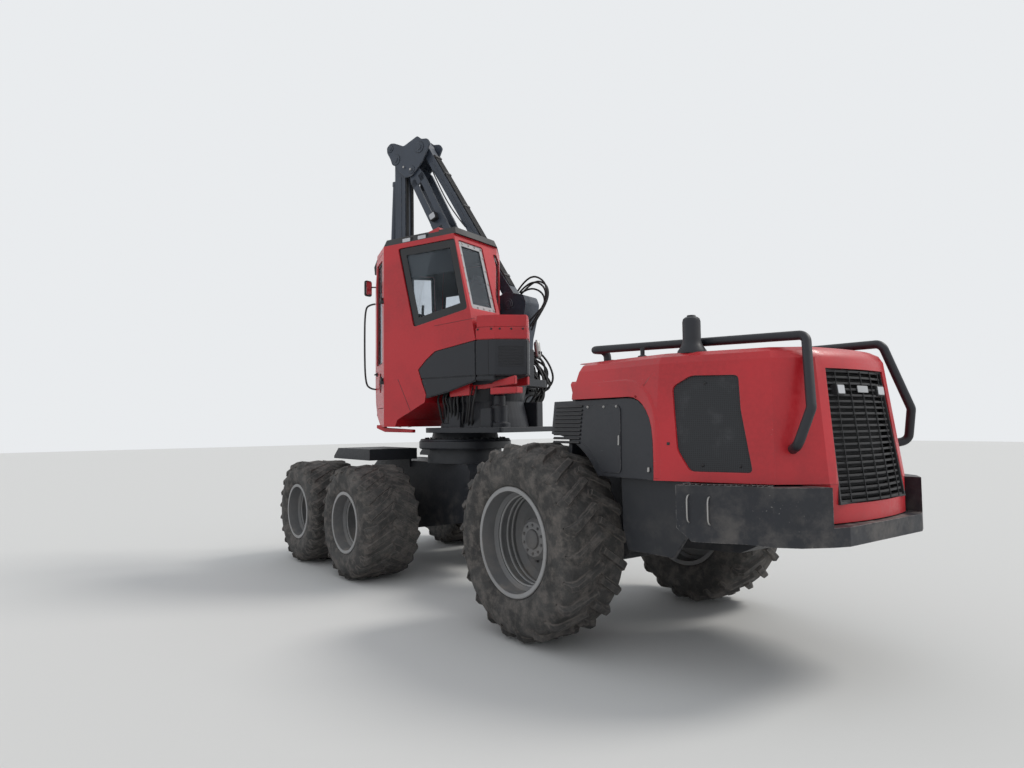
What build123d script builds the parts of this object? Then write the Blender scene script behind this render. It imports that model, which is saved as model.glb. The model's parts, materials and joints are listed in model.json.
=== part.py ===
from math import atan2, cos, degrees, hypot, radians, sin, tan

import os

from build123d import *

os.makedirs("parts", exist_ok=True)

# All lengths in millimetres, all angles in degrees. +X is forward, +Y is left, +Z is up, the ground is Z = 0.

# Carrier: reach of the bumper behind the rear axle, and spacing of the axle, the bogie and the bogie's wheels
REAR_REACH = 2415
AXLE_SPACING = 3904
BOGIE_BASE = 1500

# Rear wheels
REAR_TYRE_R = 822
REAR_TYRE_W = 620
REAR_FACE_Y = 1394
REAR_RIM_R = 457
REAR_LUG = 42

# Bogie wheels
BOGIE_TYRE_R = 665
BOGIE_TYRE_W = 710
BOGIE_FACE_Y = 1462
BOGIE_RIM_R = 361
BOGIE_LUG = 18

# The frame's origin is midway between the bumper and the front tyres
REAR_AXLE_X = (REAR_REACH - AXLE_SPACING - BOGIE_BASE / 2 - BOGIE_TYRE_R) / 2
BOGIE_X = REAR_AXLE_X + AXLE_SPACING
JOINT_X = REAR_AXLE_X + 1900

SEAT_GAP = 0.3

# Rear frame and its axle
REAR_FRAME_HALF_W = 360
REAR_FRAME_TOP = 1340
REAR_FRAME_BOTTOM = 820
AXLE_TUBE_R = 170
AXLE_BOWL_R = 290

# Wheel discs and hubs
DISC_X = 970
HUB_R = 175
HUB_LENGTH = 170
HUB_BORE_R = 60.4
SPINDLE_R = 60

# Steering joint
JOINT_Z = 1000
JOINT_PIN_R = 70
TONGUE_H = 240
EAR_H = 70
EAR_R = 150
STEER_Z = 1000
STEER_Y = 320
POCKET_IN = 190
STEER_BACK = 800
STEER_FRONT = 150
STEER_PIN_R = 30

# Bumper and deck behind the hood
BUMPER_BOTTOM = 1000
BUMPER_DECK = 1122
BUMPER_TOP = 1375

# Hood
HOOD_FRONT_X = REAR_AXLE_X - 300
HOOD_MID_X = REAR_AXLE_X - 1300
HOOD_REAR_X = REAR_AXLE_X - 2360
HOOD_BOTTOM = 1385
HOOD_TOP = 2300
HOOD_FRONT_HALF_W = 1000
HOOD_MID_HALF_W = 1080
HOOD_REAR_HALF_W = 520
HOOD_SHOULDER_X = REAR_AXLE_X - 2080
HOOD_SHOULDER_HALF_W = 790
PANEL_REAR_X = REAR_AXLE_X - 1300
GRILLE_HALF_W = 450
GRILLE_BOTTOM = 1250
GRILLE_TOP = 2150
GRILLE_SLATS = 22
GRILLE_SLAT_H = 14
PANEL_T = 26
BULKHEAD_T = 48
RAIL_R = 32
RAIL_BEND = 60
HOOD_WALL = 14
HOOD_LEAN = 7.5
HOOD_BAND = 1985
HINGE_X = HOOD_FRONT_X + 30
HINGE_Z = HOOD_TOP + 30
HINGE_Y = 430
HINGE_PIN_R = 14
HOOD_GAP = 8

# Front frame
FRONT_FRAME_HALF_W = 330
FRONT_DECK_Z = 1330
NOSE_X = BOGIE_X + 1290
NOSE_TOP = 1120

TOW_Z = 930
TOW_EYE_R = 66
TOW_EYE_W = 60
TOW_EYE_OUT = 54
TOW_BORE_R = 32
PEDESTAL_R = 470
PEDESTAL_TOP = 1500
PEDESTAL_BORE = 200.4
BOGIE_CASE_IN = 560
BOGIE_CASE_OUT = 735
BOGIE_PIVOT_R = 170
SIDE_BOX_OUT = 1000

# Slewing superstructure, stored turned to the left as it parks
SLEW_X = REAR_AXLE_X + 2750
SLEW_HEADING = 19.3
CAB_LEFT = 720
CAB_RIGHT = -580
CAB_WALL = 45
CAB_ROOF_Z = 4010
WINDOW_GLASS = 8

ROOF_T = 85
DOOR_GAP = 7
RING_GAP = 1
RING_R = 560
RING_H = 120
BASE_Z = 1700
BASE_T = 60
CAB_BASE_Z = 2335

# Crane, in the side view of the superstructure (forward, up)
CRANE_V = -800
BOOM_FOOT = (-250, 3380)
KNEE = (1300, 5850)
BOOM_FOOT_DEPTH = 330
BOOM_TIP_DEPTH = 210
BOOM_WIDTH = 240
LINK_FOOT = (50, 3000)
LINK_HEAD = (1450, 5550)
LIFT_FOOT = (20, 2450)
LIFT_ALONG = 1000
LIFT_BELOW = 190
STICK_PIN = (1760, 5760)
STICK_CENTRE = 1730
STICK_DEPTH = 240
STICK_WIDTH = 240
STICK_WALL = 14
STICK_BOTTOM = 3420
STICK_TIP_Z = 3230
TELESCOPE_SLOT = 150
JIB_FOOT = (1950, 4300)
JIB_HEAD_R = 220
JIB_HEAD_ANGLE = 60
PLATE = 28
PILLAR_W = 340
BOOM_PIN_R = 45
LEVER_MID = 142
LINK_MID = 104
LINK_T = 34
LIFT_EAR_W = 130
LIFT_BARREL = 950
JIB_EAR_W = 110
JIB_BARREL = 1180
HANGER_W = 90
STEER_BARREL = 560

# Harvester head, hanging below the stick's tip
ROTATOR_TOP = STICK_TIP_Z - 170
ROTATOR_H = 230
HEAD_TILT_Z = 2520
HEAD_AXIS_Z = 2080
HEAD_LENGTH = 1080
HEAD_HEADING = -28.0

HEAD_HALF_W = 150
TILT_EAR_Y = 120
ARM_PIVOT_Y = 212
ARM_PIVOT_Z = HEAD_AXIS_Z + 240
ARM_TUBE_R = 40
ARM_PIN_R = 20
ARM_PLATE = 25
ROLLER_R = 170
ROLLER_H = 300
ROLLER_Y = 235
KNIFE_T = 30
KNIFE_REACH = 320
SAW_BOX_L = 120

# Bays along the head between the hinge plates: the feed arms' and the knives'
ARM_BAYS = [(-170, 50), (280, 348)]

# Running clearances
PIN_GAP = 6
MOVE_GAP = 8
PIN_R = 38

slew = Plane(
    origin=(SLEW_X, 0, 0),
    x_dir=(cos(radians(SLEW_HEADING)), sin(radians(SLEW_HEADING)), 0),
    z_dir=(0, 0, 1),
)


def slew_side(v):
    """Side view of the superstructure at v to the left of its centre: x forward, y up."""
    return Plane(origin=slew.from_local_coords((0, v, 0)), x_dir=slew.x_dir, z_dir=-slew.y_dir)


def slew_top(z):
    """Plan view of the superstructure at height z: x forward, y left."""
    return Plane(origin=slew.from_local_coords((0, 0, z)), x_dir=slew.x_dir, z_dir=(0, 0, 1))


def slew_wall(p, q, inset=0):
    """Upright plane through the plan points p and q: x from p to q, y up, normal outwards."""
    a = slew.from_local_coords((*p, 0))
    b = slew.from_local_coords((*q, 0))
    along = (b - a).normalized()
    out = along.cross(Vector(0, 0, 1))
    return Plane(origin=a - out * inset, x_dir=along, z_dir=out)


def side(y):
    """Side view of the carrier at y: x forward, y up, extruding to the right."""
    return Plane.XZ.offset(-y)


def write(part, node):
    """Write one finished piece under its node name."""
    part.label = node
    export_step(part, f"parts/{node}.step")


def polar(origin, length, angle):
    """Point at a length and angle from origin in a side view."""
    return (origin[0] + length * cos(radians(angle)), origin[1] + length * sin(radians(angle)))


BOOM_ANGLE = degrees(atan2(KNEE[1] - BOOM_FOOT[1], KNEE[0] - BOOM_FOOT[0]))
BOOM_LENGTH = hypot(KNEE[0] - BOOM_FOOT[0], KNEE[1] - BOOM_FOOT[1])

# Wheels: name, centre x, outer face y, side, tyre radius, width, rim radius, lug height
WHEELS = [
    ("rear_left", REAR_AXLE_X, REAR_FACE_Y, 1, REAR_TYRE_R, REAR_TYRE_W, REAR_RIM_R, REAR_LUG),
    ("rear_right", REAR_AXLE_X, REAR_FACE_Y, -1, REAR_TYRE_R, REAR_TYRE_W, REAR_RIM_R, REAR_LUG),
    ("bogie_rear_left", BOGIE_X - BOGIE_BASE / 2, BOGIE_FACE_Y, 1, BOGIE_TYRE_R, BOGIE_TYRE_W, BOGIE_RIM_R, BOGIE_LUG),
    ("bogie_rear_right", BOGIE_X - BOGIE_BASE / 2, BOGIE_FACE_Y, -1, BOGIE_TYRE_R, BOGIE_TYRE_W, BOGIE_RIM_R, BOGIE_LUG),
    ("bogie_front_left", BOGIE_X + BOGIE_BASE / 2, BOGIE_FACE_Y, 1, BOGIE_TYRE_R, BOGIE_TYRE_W, BOGIE_RIM_R, BOGIE_LUG),
    ("bogie_front_right", BOGIE_X + BOGIE_BASE / 2, BOGIE_FACE_Y, -1, BOGIE_TYRE_R, BOGIE_TYRE_W, BOGIE_RIM_R, BOGIE_LUG),
]


for name, centre_x, face_y, hand, tyre_r, tyre_w, rim_r, lug in WHEELS:
    # Local x runs outwards along the axle from the tyre's outer face, local y is the radius
    section = Plane(origin=(centre_x, hand * face_y, tyre_r), x_dir=(0, hand, 0), z_dir=(hand, 0, 0))
    axle = Axis((centre_x, 0, tyre_r), (0, 1, 0))
    bulge = rim_r + 0.45 * (tyre_r - rim_r)
    with BuildPart() as tyre:
        with BuildSketch(section):
            with BuildLine():
                Polyline((-150, rim_r - 31.6), (-44.4, rim_r - 24.6), (-40.4, rim_r + 0.4), (-26, rim_r + 12))
                ThreePointArc((-26, rim_r + 12), (0, bulge), (-34, tyre_r - 62))
                Polyline((-34, tyre_r - 62), (-72, tyre_r - 12), (-tyre_w / 2, tyre_r))
                Polyline((-tyre_w / 2, tyre_r), (72 - tyre_w, tyre_r - 12), (34 - tyre_w, tyre_r - 62))
                ThreePointArc((34 - tyre_w, tyre_r - 62), (-tyre_w, bulge), (26 - tyre_w, rim_r + 12))
                Polyline(
                    (26 - tyre_w, rim_r + 12),
                    (40.4 - tyre_w, rim_r + 0.4),
                    (44.4 - tyre_w, rim_r - 24.6),
                    (150 - tyre_w, rim_r - 31.6),
                    (-150, rim_r - 31.6),
                )
            make_face()
        revolve(axis=axle)
    write(tyre.part, f"tyre_{name}")

    disc_x = DISC_X - face_y
    with BuildPart() as rim:
        with BuildSketch(section):
            with BuildLine():
                Polyline(
                    (-28, rim_r),
                    (-40, rim_r),
                    (-44, rim_r - 25),
                    (-150, rim_r - 32),
                    (-175, rim_r - 62),
                    (175 - tyre_w, rim_r - 62),
                    (150 - tyre_w, rim_r - 32),
                    (44 - tyre_w, rim_r - 25),
                    (40 - tyre_w, rim_r),
                    (28 - tyre_w, rim_r),
                    (28 - tyre_w, rim_r - 40),
                    (150 - tyre_w, rim_r - 47),
                    (175 - tyre_w, rim_r - 77),
                    (disc_x, rim_r - 77),
                    (disc_x, 150),
                    (disc_x + 6, HUB_BORE_R),
                    (disc_x + HUB_LENGTH - 30, HUB_BORE_R),
                    (disc_x + HUB_LENGTH - 30, 0),
                    (disc_x + HUB_LENGTH, 0),
                    (disc_x + HUB_LENGTH, HUB_R - 30),
                    (disc_x + HUB_LENGTH - 30, HUB_R),
                    (disc_x + 30, HUB_R),
                    (disc_x + 18, HUB_R + 20),
                    (disc_x + 18, rim_r - 130),
                    (disc_x + 60, rim_r - 77),
                    (-175, rim_r - 77),
                    (-150, rim_r - 47),
                    (-28, rim_r - 40),
                    (-28, rim_r),
                )
            make_face()
        revolve(axis=axle)
    write(rim.part, f"rim_{name}")

# Rear axle housing, revolved about the axle line
with BuildPart() as rear_axle:
    with BuildSketch(Plane(origin=(REAR_AXLE_X, 0, REAR_TYRE_R), x_dir=(0, 1, 0), z_dir=(1, 0, 0))):
        with BuildLine():
            stub = [
                (200, AXLE_BOWL_R),
                (340, AXLE_TUBE_R),
                (640, AXLE_TUBE_R - 20),
                (680, 215),
                (DISC_X - PIN_GAP, 215),
                (DISC_X - PIN_GAP, SPINDLE_R),
                (DISC_X + HUB_LENGTH - 60, SPINDLE_R),
                (DISC_X + HUB_LENGTH - 60, 0),
            ]
            Polyline(*stub, *[(-x, y) for x, y in reversed(stub)], close=True)
        make_face()
    revolve(axis=Axis((REAR_AXLE_X, 0, REAR_TYRE_R), (0, 1, 0)))
write(rear_axle.part, "rear_axle")

# Rear frame: a deep box beam with an arch for the axle, ending in the upper and lower plates of the steering joint
with BuildPart() as rear_frame:
    with BuildSketch(side(0)):
        with BuildLine():
            Polyline(
                (REAR_AXLE_X - 1900, REAR_FRAME_TOP),
                (REAR_AXLE_X - 1900, REAR_FRAME_BOTTOM + 190),
                (REAR_AXLE_X - 1500, REAR_FRAME_BOTTOM),
                (REAR_AXLE_X + 1200, REAR_FRAME_BOTTOM - 150),
                (JOINT_X - 300, REAR_FRAME_BOTTOM - 150),
                (JOINT_X - 300, REAR_FRAME_TOP - 60),
                (REAR_AXLE_X + 1200, REAR_FRAME_TOP),
                close=True,
            )
        make_face()
    extrude(amount=REAR_FRAME_HALF_W, both=True)
    with BuildSketch(side(0)):
        with Locations((REAR_AXLE_X, REAR_TYRE_R)):
            Circle(AXLE_BOWL_R + SEAT_GAP)
        with Locations((REAR_AXLE_X, REAR_TYRE_R - 300)):
            Rectangle(2 * (AXLE_BOWL_R + SEAT_GAP), 600)
    extrude(amount=REAR_FRAME_HALF_W + 10, both=True, mode=Mode.SUBTRACT)
    # Pockets in the frame's sides for the steering cylinders
    for hand in (1, -1):
        with Locations((JOINT_X - 600, hand * (POCKET_IN + 150), JOINT_Z)):
            Box(620, 300, 300, mode=Mode.SUBTRACT)
    # Steering joint ears, above and below the front frame's tongue
    for ear_z in (JOINT_Z + TONGUE_H / 2 + PIN_GAP, JOINT_Z - TONGUE_H / 2 - PIN_GAP - EAR_H):
        with BuildSketch(Plane.XY.offset(ear_z)):
            with Locations((JOINT_X - 170, 0)):
                Rectangle(340, 2 * EAR_R)
            with Locations((JOINT_X, 0)):
                Circle(EAR_R)
        extrude(amount=EAR_H)
    with BuildSketch(Plane.XY.offset(JOINT_Z - TONGUE_H / 2 - PIN_GAP - EAR_H)):
        with Locations((JOINT_X, 0)):
            Circle(JOINT_PIN_R)
    extrude(amount=TONGUE_H + 2 * PIN_GAP + 2 * EAR_H + 25)
    # Lugs for the steering cylinders
    for hand in (1, -1):
        for lug_z in (STEER_Z + 40, STEER_Z - 65):
            with BuildSketch(Plane.XY.offset(lug_z)):
                with Locations((JOINT_X - STEER_BACK - 25, hand * (POCKET_IN + STEER_Y + 50) / 2)):
                    Rectangle(140, STEER_Y + 60 - POCKET_IN)
            extrude(amount=25)
        with BuildSketch(Plane.XY.offset(STEER_Z - 65)):
            with Locations((JOINT_X - STEER_BACK, hand * STEER_Y)):
                Circle(STEER_PIN_R)
        extrude(amount=130)
write(rear_frame.part, "rear_frame")

with BuildPart() as engine_block:
    with Locations((REAR_AXLE_X - 1250, 0, REAR_FRAME_TOP + SEAT_GAP + 340)):
        Box(1250, 760, 680)
write(engine_block.part, "engine_block")

# Rear bumper: plan outline from its left front corner round to the right
BUMPER_PLAN = [
    (-1560, 1150),
    (-1760, 1045),
    (-1940, 930),
    (-2130, 895),
    (-2260, 800),
    (-2370, 620),
    (-REAR_REACH, 500),
]
with BuildPart() as rear_bumper:
    with BuildSketch(Plane.XY.offset(BUMPER_BOTTOM)):
        with BuildLine():
            left = [(REAR_AXLE_X + x, y) for x, y in BUMPER_PLAN]
            Polyline(*left, *[(x, -y) for x, y in reversed(left)], left[0])
        make_face()
    extrude(amount=BUMPER_TOP - BUMPER_BOTTOM)
    # Well behind the engine, open to the rear for the grille
    with BuildSketch(Plane.XY.offset(BUMPER_DECK)):
        with Locations((REAR_AXLE_X - 2000, 0)):
            Rectangle(1000, 1230)
    extrude(amount=400, mode=Mode.SUBTRACT)
    with BuildSketch(Plane.XY.offset(BUMPER_BOTTOM - 1)):
        with Locations((REAR_AXLE_X - 1560, 0)):
            Rectangle(720, 2 * REAR_FRAME_HALF_W + 2 * SEAT_GAP)
    extrude(amount=400, mode=Mode.SUBTRACT)
    front_low = rear_bumper.edges().filter_by(Axis.Y).group_by(Axis.Z)[0].group_by(Axis.X)[-1]
    chamfer(front_low, 90)
write(rear_bumper.part, "rear_bumper")


def hood_outline(inset, front):
    """Plan of the hood, drawn in by inset, its front edge at front."""
    half = [
        (front, HOOD_FRONT_HALF_W - inset),
        (HOOD_MID_X, HOOD_MID_HALF_W - inset),
        (HOOD_SHOULDER_X, HOOD_SHOULDER_HALF_W - inset),
        (HOOD_REAR_X + 60 + inset, HOOD_REAR_HALF_W - inset),
    ]
    with BuildLine() as outline:
        Polyline(*half)
        ThreePointArc(half[-1], (HOOD_REAR_X + inset, 0), (half[-1][0], -half[-1][1]))
        Polyline(*[(x, -y) for x, y in reversed(half)], half[0])
    return outline.line


def hood_block(inset, front, bottom, top):
    """Solid hood form, its walls leaning in, drawn in by inset."""
    with BuildPart() as block:
        with BuildSketch(Plane.XY.offset(bottom)):
            add(hood_outline(inset, front))
            make_face()
        extrude(amount=top - bottom - 80, taper=HOOD_LEAN)
        extrude(block.faces().sort_by(Axis.Z)[-1], amount=50, taper=30)
        extrude(block.faces().sort_by(Axis.Z)[-1], amount=30, taper=62)
    return block.part


def panel_region(gap):
    """Side view of the black side panel, grown by gap."""
    with BuildSketch(side(0)) as region:
        with BuildLine():
            Polyline(
                (HOOD_FRONT_X + 100, HOOD_BOTTOM - 100),
                (HOOD_FRONT_X + 100, HOOD_BAND + gap),
                (PANEL_REAR_X + 330, HOOD_BAND + gap),
            )
            ThreePointArc(
                (PANEL_REAR_X + 330, HOOD_BAND + gap),
                (PANEL_REAR_X + 110 - gap, HOOD_BAND - 90 + gap),
                (PANEL_REAR_X + 20 - gap, HOOD_BAND - 300),
            )
            Polyline(
                (PANEL_REAR_X + 20 - gap, HOOD_BAND - 300),
                (PANEL_REAR_X - gap, HOOD_BOTTOM - 100),
                (HOOD_FRONT_X + 100, HOOD_BOTTOM - 100),
            )
        make_face()
    return region.sketch


def grille_opening(inset):
    """Prism through the hood's rear wall in the grille's outline, drawn in by inset."""
    with BuildPart() as opening:
        with BuildSketch(Plane.YZ.offset(HOOD_REAR_X - 50)):
            with BuildLine():
                Polyline(
                    (-GRILLE_HALF_W, GRILLE_BOTTOM),
                    (GRILLE_HALF_W, GRILLE_BOTTOM),
                    (GRILLE_HALF_W - 60, GRILLE_TOP),
                    (60 - GRILLE_HALF_W, GRILLE_TOP),
                    close=True,
                )
            make_face()
            if inset:
                offset(amount=-inset, kind=Kind.INTERSECTION)
        extrude(amount=500)
    return opening.part


with BuildPart() as hood_shell:
    add(hood_block(0, HOOD_FRONT_X + 400, HOOD_BOTTOM, HOOD_TOP))
    add(hood_block(HOOD_WALL, HOOD_FRONT_X + 400, HOOD_BOTTOM - 10, HOOD_TOP - HOOD_WALL), mode=Mode.SUBTRACT)
    with Locations((HOOD_FRONT_X, 0, HOOD_TOP)):
        Box(500, 3000, 3000, align=(Align.MIN, Align.CENTER, Align.CENTER), mode=Mode.SUBTRACT)
    extrude(panel_region(HOOD_GAP), amount=1300, both=True, mode=Mode.SUBTRACT)
    # Lower rear panel, down to the deck
    with BuildSketch(Plane.XY.offset(BUMPER_DECK + MOVE_GAP)):
        with BuildLine():
            low = [(HOOD_SHOULDER_X - 60, HOOD_REAR_HALF_W + 60), (HOOD_REAR_X + 60, HOOD_REAR_HALF_W - 10)]
            Polyline(*low)
            ThreePointArc(low[-1], (HOOD_REAR_X, 0), (low[-1][0], -low[-1][1]))
            Polyline((low[-1][0], -low[-1][1]), (low[0][0], -low[0][1]), (low[0][0], 40 - low[0][1]))
            Polyline((low[0][0], 40 - low[0][1]), (low[-1][0] + 30, 30 - low[-1][1]))
            ThreePointArc(
                (low[-1][0] + 30, 30 - low[-1][1]), (HOOD_REAR_X + 30, 0), (low[-1][0] + 30, low[-1][1] - 30)
            )
            Polyline((low[-1][0] + 30, low[-1][1] - 30), (low[0][0], low[0][1] - 40), low[0])
        make_face()
    extrude(amount=HOOD_BOTTOM - BUMPER_DECK - MOVE_GAP + 2)
    add(grille_opening(0), mode=Mode.SUBTRACT)
    # Hinge straps at the front edge, bored for the pins
    for hand in (1, -1):
        for at in (HINGE_Y - 40, HINGE_Y + 40):
            with BuildSketch(side(hand * at)):
                with BuildLine():
                    Polyline(
                        (HOOD_FRONT_X - 160, HOOD_TOP - 8),
                        (HOOD_FRONT_X - 4, HOOD_TOP - 8),
                        (HINGE_X + 4, HINGE_Z - 26),
                        (HINGE_X, HINGE_Z + 26),
                        (HOOD_FRONT_X - 60, HOOD_TOP + 30),
                        close=True,
                    )
                make_face()
                with Locations((HINGE_X, HINGE_Z)):
                    Circle(26)
                with Locations((HINGE_X, HINGE_Z)):
                    Circle(HINGE_PIN_R + SEAT_GAP, mode=Mode.SUBTRACT)
            extrude(amount=12, both=True)
write(hood_shell.part, "hood_shell")


# Black side panels under the hood's red band, and the bulkhead at the hood's front that carries them
with BuildPart() as side_panels:
    add(hood_block(4, HOOD_FRONT_X + 400, HOOD_BOTTOM, HOOD_TOP))
    add(hood_block(4 + PANEL_T, HOOD_FRONT_X + 400, HOOD_BOTTOM - 10, HOOD_TOP), mode=Mode.SUBTRACT)
    extrude(panel_region(0), amount=1300, both=True, mode=Mode.INTERSECT)
    with Locations((HOOD_FRONT_X + BULKHEAD_T, 0, HOOD_TOP)):
        Box(500, 3000, 3000, align=(Align.MIN, Align.CENTER, Align.CENTER), mode=Mode.SUBTRACT)
    with BuildSketch(Plane.YZ.offset(HOOD_FRONT_X + MOVE_GAP)):
        with BuildLine():
            Polyline(
                (-HOOD_FRONT_HALF_W + 20, HOOD_BOTTOM),
                (-REAR_FRAME_HALF_W, REAR_FRAME_TOP),
                (REAR_FRAME_HALF_W, REAR_FRAME_TOP),
                (HOOD_FRONT_HALF_W - 20, HOOD_BOTTOM),
                (HOOD_FRONT_HALF_W - 120, HOOD_TOP - 40),
                (120 - HOOD_FRONT_HALF_W, HOOD_TOP - 40),
                close=True,
            )
        make_face()
    extrude(amount=BULKHEAD_T - MOVE_GAP)
    # Arches over the rear tyres
    for hand in (1, -1):
        with BuildSketch(side(hand * (REAR_FACE_Y - REAR_TYRE_W - 40))):
            with Locations((REAR_AXLE_X, REAR_TYRE_R)):
                Circle(REAR_TYRE_R + 60)
        extrude(amount=-hand * 800, mode=Mode.SUBTRACT)
    # Lugs and pins of the hood's hinges
    for hand in (1, -1):
        with BuildSketch(side(hand * HINGE_Y)):
            with BuildLine():
                Polyline(
                    (HOOD_FRONT_X + MOVE_GAP, HOOD_TOP - 60),
                    (HOOD_FRONT_X + BULKHEAD_T, HOOD_TOP - 60),
                    (HINGE_X + 26, HINGE_Z),
                    (HINGE_X - 20, HINGE_Z),
                    close=True,
                )
            make_face()
            with Locations((HINGE_X, HINGE_Z)):
                Circle(26)
        extrude(amount=20, both=True)
        with BuildSketch(side(hand * HINGE_Y)):
            with Locations((HINGE_X, HINGE_Z)):
                Circle(HINGE_PIN_R)
        extrude(amount=60, both=True)
write(side_panels.part, "side_panels")

# Grille: a bowed black core behind a frame with horizontal slats, and the black vents in the hood's sides
with BuildPart() as grille:
    lean = tan(radians(HOOD_LEAN))
    for index in range(GRILLE_SLATS):
        z = GRILLE_BOTTOM + 18 + index * (GRILLE_TOP - GRILLE_BOTTOM - 36) / (GRILLE_SLATS - 1)
        inset = (z - HOOD_BOTTOM) * lean
        half = GRILLE_HALF_W - 3 - 60 * (z - GRILLE_BOTTOM) / (GRILLE_TOP - GRILLE_BOTTOM)
        with BuildSketch(Plane.XY.offset(z - GRILLE_SLAT_H / 2)):
            with BuildLine():
                ThreePointArc(
                    (HOOD_REAR_X + 62 + inset, half), (HOOD_REAR_X + 8 + inset, 0), (HOOD_REAR_X + 62 + inset, -half)
                )
                Line((HOOD_REAR_X + 62 + inset, -half), (HOOD_REAR_X + 122 + inset, -half))
                ThreePointArc(
                    (HOOD_REAR_X + 122 + inset, -half), (HOOD_REAR_X + 78 + inset, 0), (HOOD_REAR_X + 122 + inset, half)
                )
                Line((HOOD_REAR_X + 122 + inset, half), (HOOD_REAR_X + 62 + inset, half))
            make_face()
        extrude(amount=GRILLE_SLAT_H)
    # Core sheet that ties the slats together
    with BuildSketch(side(0)):
        with BuildLine():
            Polyline(
                (HOOD_REAR_X + 110 + (GRILLE_BOTTOM - HOOD_BOTTOM) * lean, GRILLE_BOTTOM + 3),
                (HOOD_REAR_X + 110 + (GRILLE_TOP - HOOD_BOTTOM) * lean, GRILLE_TOP - 3),
                (HOOD_REAR_X + 140 + (GRILLE_TOP - HOOD_BOTTOM) * lean, GRILLE_TOP - 3),
                (HOOD_REAR_X + 140 + (GRILLE_BOTTOM - HOOD_BOTTOM) * lean, GRILLE_BOTTOM + 3),
                close=True,
            )
        make_face()
    extrude(amount=GRILLE_HALF_W - 64, both=True)
    # Frame round the slats, seated in the hood's opening
    with BuildPart(mode=Mode.PRIVATE) as surround:
        with BuildSketch(side(0)):
            with BuildLine():
                Polyline(
                    (HOOD_REAR_X + 46 + (GRILLE_BOTTOM - HOOD_BOTTOM) * lean, GRILLE_BOTTOM),
                    (HOOD_REAR_X + 46 + (GRILLE_TOP - HOOD_BOTTOM) * lean, GRILLE_TOP),
                    (HOOD_REAR_X + 140 + (GRILLE_TOP - HOOD_BOTTOM) * lean, GRILLE_TOP),
                    (HOOD_REAR_X + 140 + (GRILLE_BOTTOM - HOOD_BOTTOM) * lean, GRILLE_BOTTOM),
                    close=True,
                )
            make_face()
        extrude(amount=GRILLE_HALF_W, both=True)
        add(grille_opening(0), mode=Mode.INTERSECT)
        add(grille_opening(14), mode=Mode.SUBTRACT)
    add(surround.part)
write(grille.part, "grille")

# Guard rails over the hood, left and right, and the exhaust stack
RAIL_ROUTE = [
    (HOOD_FRONT_X - 130, 640, HOOD_TOP - 10),
    (HOOD_FRONT_X - 120, 640, HOOD_TOP + 110),
    (HOOD_FRONT_X - 60, 800, HOOD_TOP + 110),
    (REAR_AXLE_X - 2170, 520, HOOD_TOP + 70),
    (REAR_AXLE_X - 2290, 690, 1880),
    (REAR_AXLE_X - 2230, 760, 1640),
    (REAR_AXLE_X - 2130, 660, 1610),
]
with BuildPart() as guard_rails:
    for hand in (1, -1):
        points = [(x, hand * y, z) for x, y, z in RAIL_ROUTE]
        with BuildLine() as route:
            FilletPolyline(*points, radius=RAIL_BEND)
        with BuildSketch(Plane(origin=route.line @ 0, z_dir=route.line % 0)):
            Circle(RAIL_R)
        sweep(path=route.line)
    with BuildSketch(Plane(origin=(REAR_AXLE_X - 1400, 740, 0), x_dir=(1, 0, 0), z_dir=(0, -1, 0))):
        with BuildLine():
            Polyline(
                (0, HOOD_TOP - 60),
                (75, HOOD_TOP - 60),
                (75, HOOD_TOP + 20),
                (42, HOOD_TOP + 60),
                (42, HOOD_TOP + 250),
                (30, HOOD_TOP + 280),
                (0, HOOD_TOP + 280),
                close=True,
            )
        make_face()
    revolve(axis=Axis((REAR_AXLE_X - 1400, 740, 0), (0, 0, 1)))
    add(hood_block(0, HOOD_FRONT_X + 400, HOOD_BOTTOM, HOOD_TOP), mode=Mode.SUBTRACT)
write(guard_rails.part, "guard_rails")


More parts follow.
